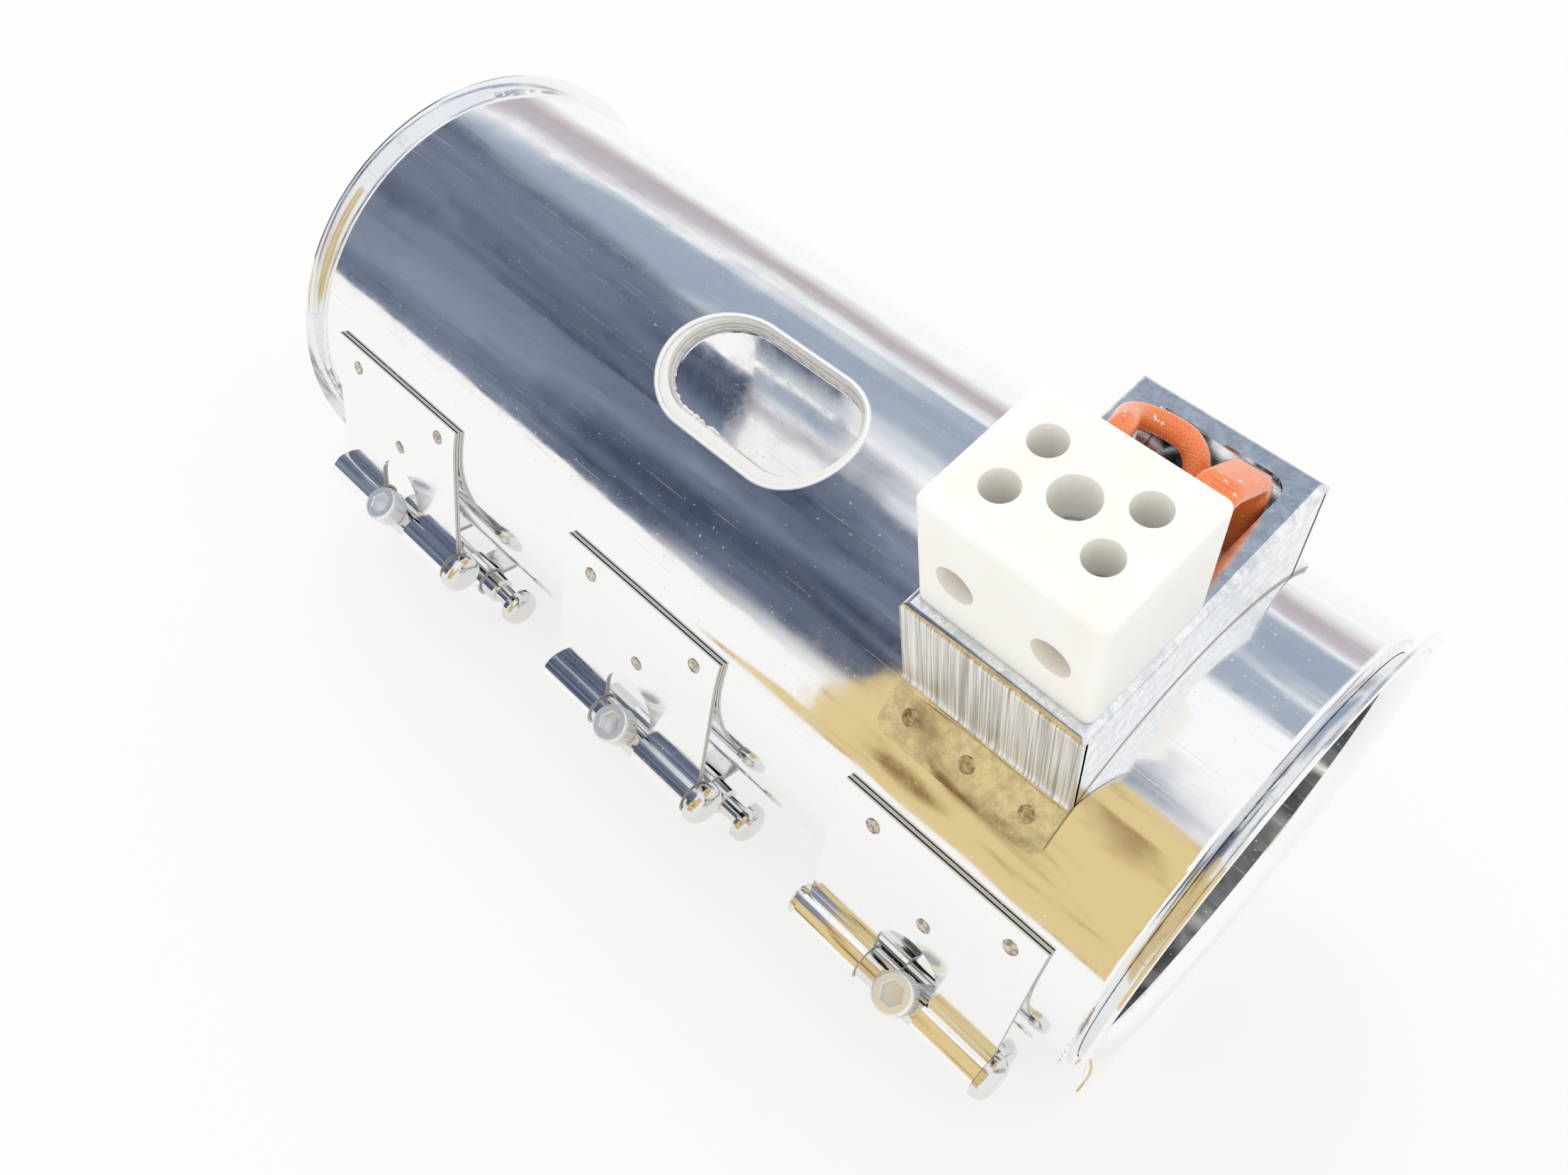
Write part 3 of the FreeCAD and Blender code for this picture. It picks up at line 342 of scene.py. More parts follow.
def box_sheet(colour, gloss):
    """Bright stainless sheet with a brushed front: the near wall keeps upright grinding lines, and
    the feet's sheared edges are dull."""
    material, tree, place = new_material("Brushed_And_Bright_Stainless_Box")
    rough, wavy = sheet_surface(tree, place, gloss, 0.6)
    upright = add_node(tree, "Mapping", {
        "Vector": place, "Rotation": (math.radians(-REST_TURN), 0, 0)})
    parts = add_node(tree, "SeparateXYZ", {"Vector": upright}).outputs
    off = add_node(tree, "Math", {0: parts["Y"], 1: -BOX_NEAR_WALL * MM}, operation="ADD")
    off = add_node(tree, "Math", {0: off}, operation="ABSOLUTE")
    wall = add_node(tree, "Math", {0: off, 1: 0.45 * MM}, operation="LESS_THAN")
    lines = add_node(tree, "Mapping", {
        "Vector": upright, "Scale": (1 / (0.35 * MM), 1 / (3 * MM), 1 / (30 * MM))})
    brushed = add_node(tree, "TexNoise", {"Vector": lines, "Scale": 1.0, "Detail": 3.0})
    satin = add_node(tree, "MapRange", {"Value": brushed, "To Min": 0.2, "To Max": 0.5})
    lined = add_node(tree, "MapRange", {"Value": brushed, "From Min": 0.3, "From Max": 0.62})
    dull = add_node(tree, "Mix", {
        "Factor": lined, 6: linear("A8A8A6"), 7: linear("FAFAF9")}).outputs[2]
    cloud = patches(tree, place, 3, (0.42, 0.58), 9.0, 0.8)
    tone = add_node(tree, "Mix", {"Factor": cloud, 6: linear("D4D9DF"), 7: colour}).outputs[2]
    tone = add_node(tree, "Mix", {"Factor": wall, 6: tone, 7: dull}).outputs[2]
    rough = add_node(tree, "Mix", {"Factor": wall, 2: rough, 3: satin})
    spoke, radius = from_axis(tree, place)
    faces = add_node(tree, "NewGeometry").outputs["True Normal"]
    rise = add_node(tree, "VectorMath", {0: spoke, 1: faces}, operation="DOT_PRODUCT")
    rise = add_node(tree, "Math", {0: rise.outputs["Value"]}, operation="ABSOLUTE")
    level = add_node(tree, "Math", {0: rise, 1: 30 * MM}, operation="LESS_THAN")
    low = add_node(tree, "Math", {0: radius, 1: (FOOT_SKIN + 0.02) * MM}, operation="LESS_THAN")
    sheared = add_node(tree, "Math", {0: level, 1: low}, operation="MULTIPLY")
    tone = add_node(tree, "Mix", {"Factor": sheared, 6: tone, 7: linear("77726A")}).outputs[2]
    grooved = add_node(tree, "Bump", {
        "Height": brushed, "Strength": 0.5, "Distance": 0.05 * MM, "Normal": wavy})
    normal = add_node(tree, "Mix", {"Factor": wall, 4: wavy, 5: grooved}, data_type="VECTOR")
    return close_material(material, {
        "Base Color": tone, "Metallic": 1.0, "Roughness": rough, "Normal": normal.outputs[1]})


def drawn_steel(name, colour, roughness):
    """Cold-drawn bright steel: fine lines along the bar give it a soft lengthwise sheen."""
    material, tree, place = new_material(name)
    lines = add_node(tree, "Mapping", {
        "Vector": place, "Scale": (1 / (20 * MM), 1 / (0.4 * MM), 1 / (0.4 * MM))})
    drawn = add_node(tree, "TexNoise", {"Vector": lines, "Scale": 1.0, "Detail": 2.0})
    rough = add_node(tree, "MapRange", {
        "Value": drawn, "To Min": roughness * 0.6, "To Max": roughness * 1.5})
    return close_material(material, {"Base Color": colour, "Metallic": 1.0, "Roughness": rough})


def zinc_plate(colour):
    """Bright zinc plate on steel: bluish white, softly mottled, a little duller than the sheet."""
    material, tree, place = new_material("Bright_Zinc_Plate")
    cloud = add_node(tree, "TexNoise", {"Vector": place, "Scale": 1 / (1.5 * MM), "Detail": 4.0})
    rough = add_node(tree, "MapRange", {"Value": cloud, "To Min": 0.3, "To Max": 0.5})
    grain = add_node(tree, "Bump", {"Height": cloud, "Strength": 0.4, "Distance": 0.05 * MM})
    return close_material(material, {
        "Base Color": colour, "Metallic": 0.75, "Roughness": rough, "Normal": grain})


def heat_tint(colour):
    """Steel coloured by the heat of spot welding: straw to brown, brown in the ring and pale inside
    it."""
    material, tree, place = new_material("Heat_Tinted_Weld_Steel")
    heat = add_node(tree, "Attribute", attribute_name="heat").outputs["Fac"]
    inside = patches(tree, place, 1.1, (0.4, 0.62), 3.0, spread=(0.0, 0.7))
    hot = add_node(tree, "Math", {0: inside, 1: heat}, operation="MAXIMUM")
    tone = add_node(tree, "Mix", {"Factor": hot, 6: linear("D8D0C4"), 7: colour})
    return close_material(material, {
        "Base Color": tone.outputs[2], "Metallic": 1.0, "Roughness": 0.25})


def unglazed_ceramic(colour):
    """Pressed and fired steatite, unglazed: warm white, matt and a little translucent, with a
    barely grainy skin."""
    material, tree, place = new_material("Unglazed_Steatite")
    grain = add_node(tree, "TexNoise", {"Vector": place, "Scale": 1 / (0.5 * MM), "Detail": 3.0})
    shade = patches(tree, place, 14, (0.35, 0.75), 3.0)
    tone = add_node(tree, "Mix", {"Factor": shade, 6: colour, 7: linear("FBF7EE")})
    skin = add_node(tree, "Bump", {"Height": grain, "Strength": 0.5, "Distance": 0.04 * MM})
    return close_material(material, {
        "Base Color": tone.outputs[2], "Roughness": 0.5, "Normal": skin, "Subsurface Weight": 0.35,
        "Subsurface Radius": (1, 0.9, 0.75), "Subsurface Scale": 3 * MM})


def fibre_paper(colour):
    """Ceramic-fibre paper: matt white felt with short matted threads and no shine."""
    material, tree, place = new_material("Ceramic_Fibre_Paper")
    felt = add_node(tree, "TexNoise", {
        "Vector": place, "Scale": 1 / (0.6 * MM), "Detail": 6.0, "Roughness": 0.75})
    tone = add_node(tree, "Mix", {"Factor": felt, 6: linear("F1EFEB"), 7: colour})
    skin = add_node(tree, "Bump", {"Height": felt, "Strength": 0.8, "Distance": 0.3 * MM})
    return close_material(material, {
        "Base Color": tone.outputs[2], "Roughness": 0.95, "Specular IOR Level": 0.15,
        "Normal": skin})


def pressed_mica(colour):
    """Pressed mica sheet: straw-coloured flakes with a low pearly shine."""
    material, tree, place = new_material("Pressed_Mica")
    flakes = add_node(tree, "TexVoronoi", {"Vector": place, "Scale": 1 / (2.5 * MM)})
    tone = add_node(tree, "Mix", {"Factor": flakes, 6: colour, 7: linear("D0CCC4")})
    return close_material(material, {"Base Color": tone.outputs[2], "Roughness": 0.4})


def lacquered_braid(colour, pitch, strands):
    """Braided glass sleeve dipped in orange lacquer: fine crossing ribs under a wet-looking coat,
    with painted shade, a deeper orange, in the grooves between them, and pale glass where the
    lacquer is chipped. The ribs are drawn coarser than real ones, so that they show."""
    material, tree, place = new_material("Lacquered_Orange_Glass_Braid")
    along = add_node(tree, "Attribute", attribute_name="along").outputs["Fac"]
    around = add_node(tree, "Attribute", attribute_name="around").outputs["Vector"]
    parts = add_node(tree, "SeparateXYZ", {"Vector": around}).outputs
    turn = add_node(tree, "Math", {0: parts["Y"], 1: parts["X"]}, operation="ARCTAN2")
    wound = add_node(tree, "Math", {0: turn, 1: float(strands)}, operation="MULTIPLY")
    ribs = []
    for way in (1, -1):
        phase = add_node(tree, "Math", {0: along, 1: way * 2 * math.pi / pitch, 2: wound},
                         operation="MULTIPLY_ADD")
        ribs.append(add_node(tree, "Math", {0: phase}, operation="SINE"))
    weave = add_node(tree, "Math", {0: ribs[0], 1: ribs[1]}, operation="MAXIMUM")
    raised = add_node(tree, "Bump", {"Height": weave, "Strength": 0.5, "Distance": 0.08 * MM})
    # Painted shade: the grooves between the ribs get a deeper, darker orange than the ribs' tops.
    low = add_node(tree, "MapRange", {"Value": weave, "From Min": -0.6, "From Max": 0.9})
    tone = add_node(tree, "Mix", {"Factor": low, 6: linear("EE7232"), 7: colour}).outputs[2]
    chips = patches(tree, place, 1.3, (0.66, 0.7), 3.0)
    tone = add_node(tree, "Mix", {"Factor": chips, 6: tone, 7: linear("F2E2D4")}).outputs[2]
    return close_material(material, {"Base Color": tone, "Roughness": 0.3, "Coat Weight": 0.8,
                          "Coat Roughness": 0.1, "Normal": raised})


def plain_metal(name, colour, roughness):
    """One even metal: used where a piece hardly shows and its finish has no pattern."""
    material = new_material(name)[0]
    return close_material(material, {"Base Color": colour, "Metallic": 1.0, "Roughness": roughness})


def new_tree(name, *sizes):
    """A geometry tree with named inputs, given as (name, kind of socket), and its inputs'
    sockets."""
    tree = bpy.data.node_groups.new(name, "GeometryNodeTree")
    for label, kind in (("Geometry", "Geometry"),) + sizes:
        tree.interface.new_socket(label, in_out="INPUT", socket_type="NodeSocket" + kind)
    tree.interface.new_socket("Geometry", in_out="OUTPUT", socket_type="NodeSocketGeometry")
    return tree, add_node(tree, "NodeGroupInput").outputs


def end_tree(tree, geometry, material):
    """Ends a geometry tree: instances made real, and one material on all."""
    real = add_node(tree, "RealizeInstances", {"Geometry": geometry})
    dressed = add_node(tree, "SetMaterial", {"Geometry": real, "Material": material})
    add_node(tree, "NodeGroupOutput", {"Geometry": dressed})


def join(tree, *parts):
    """Joins several geometries, given as sockets, into one."""
    whole = add_node(tree, "JoinGeometry")
    for part in parts:
        tree.links.new(part, whole.inputs[0])
    return whole


def seed_mesh(name, points, edges=(), faces=(), **vectors):
    """A mesh of points, with a vector for each of them under every name given."""
    mesh = bpy.data.meshes.new(name)
    mesh.from_pydata(points, edges, faces)
    for label, values in vectors.items():
        layer = mesh.attributes.new(label, "FLOAT_VECTOR", "POINT")
        layer.data.foreach_set("vector", [c for value in values for c in value])
    return mesh


def grow(name, mesh, tree, body, sizes):
    """Runs a geometry tree on a mesh and keeps what it makes as a plain mesh riding on a body."""
    piece = bpy.data.objects.new(name, mesh)
    bpy.context.scene.collection.objects.link(piece)
    modifier = piece.modifiers.new(name, "NODES")
    modifier.node_group = tree
    for item in tree.interface.items_tree:
        if item.in_out == "INPUT" and item.name in sizes:
            modifier[item.identifier] = sizes[item.name]
    graph = bpy.context.evaluated_depsgraph_get()
    made = bpy.data.meshes.new_from_object(piece.evaluated_get(graph), depsgraph=graph)
    piece.modifiers.clear()
    piece.data = made
    made.name = name
    if not made.polygons:
        raise RuntimeError(name + " came out empty")
    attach(piece, body)
    return piece


def rounded_route(points, radius, steps=8):
    """A route's points in metres, its corners rounded by arcs of one radius."""
    points = [resting(*p) for p in points]
    radius *= MM
    route = [points[0]]
    for before, corner, after in zip(points, points[1:], points[2:]):
        into, out = (corner - before).normalized(), (after - corner).normalized()
        half = into.angle(out) / 2
        centre = corner + (out - into).normalized() * radius / math.cos(half)
        start = corner - into * radius * math.tan(half) - centre
        end = corner + out * radius * math.tan(half) - centre
        ways = [start.slerp(end, i / steps).normalized() for i in range(steps + 1)]
        route += [centre + way * radius for way in ways]
    return route + [points[-1]]


def side_ways(route, side):
    """A direction square to the route at each point, carried along without twist."""
    sides = []
    for i in range(len(route)):
        way = (route[min(i + 1, len(route) - 1)] - route[max(i - 1, 0)]).normalized()
        side = (side - way * side.dot(way)).normalized()
        sides.append(side)
    return sides


def slot_loop(length, width, angle, radius, count):
    """Points in metres round an obround that is cut straight into a cylinder about the tube's
    axis."""
    end, reach = width / 2, (length - width) / 2
    total = 4 * reach + 2 * math.pi * end
    points = []
    for i in range(count):
        s = total * i / count
        if s < 2 * reach:
            x, across = s - reach, -end
        elif s < 2 * reach + math.pi * end:
            a = (s - 2 * reach) / end - math.pi / 2
            x, across = reach + end * math.cos(a), end * math.sin(a)
        elif s < 4 * reach + math.pi * end:
            x, across = reach - (s - 2 * reach - math.pi * end), end
        else:
            a = (s - 4 * reach - math.pi * end) / end + math.pi / 2
            x, across = end * math.cos(a) - reach, end * math.sin(a)
        y, z = on_circle(radius, angle + math.degrees(math.asin(across / radius)))
        points.append(resting(x, y, z))
    return points


def leaf_weld(x, pin, width, side, dx, reach):
    """Place and outward direction of a spot weld on a clamp's leaf, reach millimetres below its top
    edge."""
    circle, pin_angle = pin
    scale = width / LEAF_WIDTH
    touch = math.degrees(math.acos(EYE_PLANE / circle))
    lap = SHROUD_RADIUS * math.radians(LEAF_LAP)
    angle = touch + LEAF_LAP - math.degrees(min(reach, lap) / SHROUD_RADIUS)
    out = on_circle(1, pin_angle + side * angle)
    down = -side * out[1], side * out[0]
    slide = max(0, reach - lap)
    y, z = (LEAF_SKIN * o + slide * d for o, d in zip(out, down))
    return resting(x + dx * scale, y, z), resting_way(*out)


def weld_places():
    """Every spot weld that shows: three on each leaf, three on each foot of the terminal box."""
    welds = []
    for x in CLAMP_XS:
        for dx, reach in WELD_PLACES:
            welds.append(leaf_weld(x, NEAR_PIN, LEAF_WIDTH, 1, dx, reach))
            welds.append(leaf_weld(x, FAR_PIN, FAR_LEAF_WIDTH, -1, dx, reach))
    for angle in FOOT_WELD_ANGLES:
        out = on_circle(1, angle)
        for i in (-1, 0, 1):
            y, z = (FOOT_SKIN * o for o in out)
            welds.append((resting(BOX_X + i * FOOT_WELD_STEP, y, z), resting_way(*out)))
    return welds


def weld_tree(material):
    """A raised ring with a flat button in it at every point, facing the way that the point says."""
    tree, given = new_tree("Spot_Welds", ("Ring Radius", "Float"), ("Bead Radius", "Float"))
    circle = add_node(tree, "CurvePrimitiveCircle", {
        "Resolution": 28, "Radius": given["Ring Radius"]})
    bead = add_node(tree, "CurvePrimitiveCircle", {"Resolution": 6, "Radius": given["Bead Radius"]})
    ring = add_node(tree, "CurveToMesh", {"Curve": circle, "Profile Curve": bead})
    ring = add_node(tree, "StoreNamedAttribute", {
        "Geometry": ring, "Name": "heat", "Value": 1.0}, data_type="FLOAT", domain="POINT")
    thick = add_node(tree, "Math", {0: given["Bead Radius"], 1: 0.9}, operation="MULTIPLY")
    button = add_node(tree, "MeshCylinder", {
        "Vertices": 28, "Radius": given["Ring Radius"], "Depth": thick})
    weld = join(tree, ring.outputs[0], button.outputs[0])
    facing = add_node(tree, "InputNamedAttribute", {"Name": "facing"},
                      data_type="FLOAT_VECTOR").outputs["Attribute"]
    turned = add_node(tree, "AlignRotationToVector", {"Vector": facing}, axis="Z")
    laid = add_node(tree, "InstanceOnPoints", {
        "Points": given["Geometry"], "Instance": weld, "Rotation": turned})
    end_tree(tree, laid, material)
    return tree


def screw_core():
    """A socket-head screw without its thread and knurl: a closed shell along Z, the head's seat at
    0."""
    edge, flat = SCREW_EDGE, SOCKET_FLATS / 2
    # Height, radius, and 1 where the ring is the socket's hexagon.
    rings = [(-SCREW_LENGTH, ROOT_RADIUS - edge, 0), (edge - SCREW_LENGTH, ROOT_RADIUS, 0),
             (-PLAIN_LENGTH - edge, ROOT_RADIUS, 0), (-PLAIN_LENGTH, SHANK_RADIUS, 0),
             (0, SHANK_RADIUS, 0), (0, HEAD_RADIUS - edge / 3, 0), (edge / 3, HEAD_RADIUS, 0),
             (HEAD_HEIGHT - edge, HEAD_RADIUS, 0),
             (HEAD_HEIGHT - edge * 0.3, HEAD_RADIUS - edge * 0.3, 0),
             (HEAD_HEIGHT, HEAD_RADIUS - edge, 0), (HEAD_HEIGHT, flat + edge / 3, 1),
             (HEAD_HEIGHT - edge / 3, flat, 1), (HEAD_HEIGHT - SOCKET_DEPTH, flat, 1)]
    count = 48
    points, faces = [], []
    for z, radius, hexagon in rings:
        for i in range(count):
            a = 2 * math.pi * i / count
            r = radius / math.cos(a % (math.pi / 3) - math.pi / 6) if hexagon else radius
            points.append((r * math.cos(a) * MM, r * math.sin(a) * MM, z * MM))
    for j in range(len(rings) - 1):
        for i in range(count):
            k = (i + 1) % count
            faces.append((j * count + i, j * count + k, (j + 1) * count + k, (j + 1) * count + i))
    faces.append(tuple(reversed(range(count))))
    faces.append(tuple(range((len(rings) - 1) * count, len(rings) * count)))
    return seed_mesh("Cap_Screw", points, faces=faces)


def screw_tree(material):
    """Adds a knurl round a screw's head and a thread along its shank, and stands it in its
    place."""
    tree, given = new_tree(
        "Cap_Screw_Knurl_And_Thread", ("Ridges", "Int"), ("Head Radius", "Float"),
        ("Ridge Height", "Float"), ("Ridge Length", "Float"), ("Ridge Middle", "Float"),
        ("Thread Radius", "Float"), ("Thread Depth", "Float"), ("Thread Turns", "Float"),
        ("Thread Length", "Float"), ("Thread Start", "Float"), ("Place", "Vector"),
        ("Turn", "Vector"))
    ridge = add_node(tree, "MeshCylinder", {
        "Vertices": 4, "Radius": given["Ridge Height"], "Depth": given["Ridge Length"]})
    around = add_node(tree, "MeshCircle", {
        "Vertices": given["Ridges"], "Radius": given["Head Radius"]})
    spoke = add_node(tree, "InputPosition")
    turned = add_node(tree, "AlignRotationToVector", {"Vector": spoke}, axis="X")
    knurl = add_node(tree, "InstanceOnPoints", {
        "Points": around, "Instance": ridge, "Rotation": turned})
    lift = add_node(tree, "CombineXYZ", {"Z": given["Ridge Middle"]})
    knurl = add_node(tree, "Transform", {"Geometry": knurl, "Translation": lift})
    middle = add_node(tree, "Math", {0: given["Thread Radius"], 1: given["Thread Depth"]},
                      operation="SUBTRACT")
    coil = add_node(tree, "CurveSpiral", {
        "Resolution": 24, "Rotations": given["Thread Turns"], "Start Radius": middle,
        "End Radius": middle, "Height": given["Thread Length"]})
    crest = add_node(tree, "CurvePrimitiveCircle", {
        "Resolution": 4, "Radius": given["Thread Depth"]})
    thread = add_node(tree, "CurveToMesh", {
        "Curve": coil, "Profile Curve": crest, "Fill Caps": True})
    drop = add_node(tree, "CombineXYZ", {"Z": given["Thread Start"]})
    thread = add_node(tree, "Transform", {"Geometry": thread, "Translation": drop})
    whole = join(tree, given["Geometry"], knurl.outputs[0], thread.outputs[0])
    stood = add_node(tree, "Transform", {
        "Geometry": whole, "Translation": given["Place"], "Rotation": given["Turn"]})
    end_tree(tree, stood, material)
    return tree


def fibre_tree(material):
    """A felted, uneven roll along a loop, with loose tufts of random size on it."""
    tree, given = new_tree("Torn_Fibre", ("Roll Radius", "Float"), ("Unevenness", "Float"),
                           ("Tufts", "Int"), ("Tuft Radius", "Float"), ("Seed", "Int"))
    path = add_node(tree, "MeshToCurve", {"Mesh": given["Geometry"]})
    profile = add_node(tree, "CurvePrimitiveCircle", {
        "Resolution": 10, "Radius": given["Roll Radius"]})
    roll = add_node(tree, "CurveToMesh", {"Curve": path, "Profile Curve": profile})
    spread = add_node(tree, "ResampleCurve", {"Curve": path, "Count": given["Tufts"]})
    bulge = add_node(tree, "InputNamedAttribute", {"Name": "bulge"},
                     data_type="FLOAT_VECTOR").outputs["Attribute"]
    size = add_node(tree, "RandomValue", {"Min": 0.45, "Max": 1.0, "Seed": given["Seed"]},
                    data_type="FLOAT").outputs["Value"]
    size = add_node(tree, "VectorMath", {0: bulge, "Scale": size}, operation="SCALE")
    turned = add_node(tree, "RandomValue", {
        "Min": (0, 0, 0), "Max": (6.28, 6.28, 6.28), "Seed": given["Seed"]},
        data_type="FLOAT_VECTOR")
    ball = add_node(tree, "MeshIcoSphere", {"Radius": given["Tuft Radius"], "Subdivisions": 2})
    tufts = add_node(tree, "InstanceOnPoints", {
        "Points": spread, "Instance": ball, "Rotation": turned.outputs["Value"], "Scale": size})
    tufts = add_node(tree, "RealizeInstances", {"Geometry": tufts})
    whole = join(tree, roll.outputs[0], tufts.outputs[0])
    place = add_node(tree, "InputPosition")
    lumps = add_node(tree, "TexNoise", {
        "Vector": place, "Scale": 1 / (1.6 * MM), "Detail": 3.0}).outputs["Color"]
    about = add_node(tree, "VectorMath", {0: lumps, 1: (0.5, 0.5, 0.5)}, operation="SUBTRACT")
    shift = add_node(tree, "VectorMath", {0: about, "Scale": given["Unevenness"]},
                     operation="SCALE")
    rough = add_node(tree, "SetPosition", {"Geometry": whole, "Offset": shift})
    end_tree(tree, rough, material)
    return tree


def sleeve_tree(material):
    """A sleeve along a route, round or pressed flat, that remembers length and angle for its
    braid."""
    tree, given = new_tree("Braided_Sleeve", ("Radius", "Float"), ("Spread", "Float"))
    path = add_node(tree, "MeshToCurve", {"Mesh": given["Geometry"]})
    side = add_node(tree, "InputNamedAttribute", {"Name": "side"},
                    data_type="FLOAT_VECTOR").outputs["Attribute"]
    path = add_node(tree, "SetCurveNormal", {"Curve": path, "Normal": side}, mode="FREE")
    length = add_node(tree, "SplineParameter").outputs["Length"]
    path = add_node(tree, "StoreNamedAttribute", {
        "Geometry": path, "Name": "along", "Value": length}, data_type="FLOAT", domain="POINT")
    ring = add_node(tree, "CurvePrimitiveCircle", {"Resolution": 32, "Radius": given["Radius"]})
    where = add_node(tree, "InputPosition")
    ring = add_node(tree, "StoreNamedAttribute", {
        "Geometry": ring, "Name": "around", "Value": where},
        data_type="FLOAT_VECTOR", domain="POINT")
    # The ring's two halves are pressed apart, which makes it an obround.
    parts = add_node(tree, "SeparateXYZ", {"Vector": where}).outputs
    sign = add_node(tree, "Math", {0: parts["X"]}, operation="SIGN")
    wide = add_node(tree, "Math", {0: sign, 1: given["Spread"]}, operation="MULTIPLY")
    shift = add_node(tree, "CombineXYZ", {"X": wide})
    ring = add_node(tree, "SetPosition", {"Geometry": ring, "Offset": shift})
    sleeve = add_node(tree, "CurveToMesh", {
        "Curve": path, "Profile Curve": ring, "Fill Caps": True})
    end_tree(tree, sleeve, material)
    return tree


class HeaterSettings(bpy.types.PropertyGroup):
    """Sizes and colours of the heater's finish"""
    sheet_colour: FloatVectorProperty(
        name="Sheet Steel", description="Colour of the bright stainless sheet",
        default=linear("F8F9FA"), **COLOUR)
    sheet_gloss: FloatProperty(
        name="Sheet Roughness", description="How blurred the bright sheet reflects",
        default=0.07, min=0.02, max=0.5)
    rim_width: FloatProperty(
        name="Slot Rim", description="Width of the dressed rim round the sensor slot, in mm",
        default=1.1, min=0.2, max=5)
    pin_colour: FloatVectorProperty(
        name="Pin Steel", description="Colour of the drawn steel pins",
        default=linear("E6E6E5"), **COLOUR)
    zinc_colour: FloatVectorProperty(
        name="Zinc Plate", description="Colour of the plated screws and nut",
        default=linear("F6FAFE"), **COLOUR)
    ceramic_colour: FloatVectorProperty(
        name="Ceramic", description="Colour of the connector block",
        default=linear("FEFCF7"), **COLOUR)
    fibre_colour: FloatVectorProperty(
        name="Fibre", description="Colour of the insulating blanket",
        default=linear("FCFCFB"), **COLOUR)
    mica_colour: FloatVectorProperty(
        name="Mica", description="Colour of the mica sheets",
        default=linear("E0DED9"), **COLOUR)
    sleeve_colour: FloatVectorProperty(
        name="Lead Sleeves", description="Colour of the lacquered braid",
        default=linear("FA8A42"), **COLOUR)
    braid_pitch: FloatProperty(
        name="Braid Pitch", description="Spacing of the braid's ribs along a lead, in mm",
        default=0.9, min=0.5, max=5)
    braid_strands: IntProperty(
        name="Braid Strands", description="Ribs of the braid round a lead",
        default=12, min=4, max=32)
    weld_radius: FloatProperty(
        name="Weld Radius", description="Radius of a spot weld's ring, in mm",
        default=1.75, min=1, max=4)
    weld_bead: FloatProperty(
        name="Weld Bead", description="Radius of the ring's bead, in mm",
        default=0.16, min=0.05, max=0.5)
    weld_tint: FloatVectorProperty(
        name="Weld Tint", description="Colour of the heat tint on spot welds",
        default=linear("6E5638"), **COLOUR)
    knurl_ridges: IntProperty(
        name="Knurl Ridges", description="Ridges round a clamp screw's head",
        default=44, min=12, max=90)
    thread_pitch: FloatProperty(
        name="Thread Pitch", description="Pitch of the clamp screws' thread, in mm",
        default=1.0, min=0.5, max=2)
    fibre_tufts: IntProperty(
        name="Fibre Tufts", description="Loose tufts round the sensor slot",
        default=150, min=10, max=400)


class HEATER_OT_tube(bpy.types.Operator):
    """Finishes the tube's outer sheet, its insulation, its heating ribbon and its lining"""
    bl_idname = "heater.tube"
    bl_label = "Tube"

    def execute(self, context):
        settings = context.scene.heater
        colour, gloss = settings.sheet_colour, settings.sheet_gloss
        lining = bright_sheet("Bright_Rolled_Stainless_Lining", colour, gloss * 1.3, 0.8)
        mica = pressed_mica(settings.mica_colour)
        # Nickel-chromium resistance strip: dull grey after heating.
        strip = plain_metal("Oxidised_Resistance_Strip", linear("8E8A84"), 0.45)
        paint(shroud_sheet(colour, gloss, settings.rim_width), "bright_steel", "outer_shroud")
        paint(lining, "sleeve_steel", "inner_sleeve")
        paint(fibre_paper(settings.fibre_colour), "white_fibre", "fibre_blanket")
        paint(mica, "mica", "outer_mica", "element_core", "inner_mica")
        paint(strip, "ribbon_alloy", "resistance_ribbon")
        return {"FINISHED"}


class HEATER_OT_slot_fibre(bpy.types.Operator):
    """Tears the blanket's edge in the sensor slot into loose fibre"""
    bl_idname = "heater.slot_fibre"
    bl_label = "Torn Fibre in the Slot"

    def execute(self, context):
        length, width, angle = SLEEVE_SLOT
        loop = slot_loop(length + TORN_REACH, width + TORN_REACH, angle, TORN_EDGE, LOOP_POINTS)
        least, more = TUFT_SIZES
        bulges = []
        for i in range(LOOP_POINTS):
            side = math.cos(2 * math.pi * (i / LOOP_POINTS - TORN_MOST))
            bulges.append([least + more * max(0, side) ** 3] * 3)
        edges = [(i, (i + 1) % LOOP_POINTS) for i in range(LOOP_POINTS)]
        mesh = seed_mesh("Torn_Fibre", loop, edges, bulge=bulges)
        tree = fibre_tree(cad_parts["fibre_blanket"].data.materials[0])
        grow("slot_fibre", mesh, tree, "heater", {
            "Roll Radius": TORN_ROLL * MM, "Unevenness": TORN_UNEVENNESS * MM,
            "Tufts": context.scene.heater.fibre_tufts, "Tuft Radius": TUFT_RADIUS * MM,
            "Seed": TUFT_SEED})
        return {"FINISHED"}


class HEATER_OT_clamps(bpy.types.Operator):
    """Finishes the clamps' folded leaves and the headed pins in their eyes"""
    bl_idname = "heater.clamps"
    bl_label = "Clamp Leaves and Pins"

    def execute(self, context):
        settings = context.scene.heater
        leaf = leaf_sheet(settings.sheet_colour, settings.sheet_gloss * 1.2)
        pin = drawn_steel("Drawn_Bright_Steel_Pin", settings.pin_colour, 0.12)
        paint(leaf, "bright_steel", "near_leaf", "far_leaf")
        paint(pin, "pin_steel", "near_pin", "far_pin")
        return {"FINISHED"}


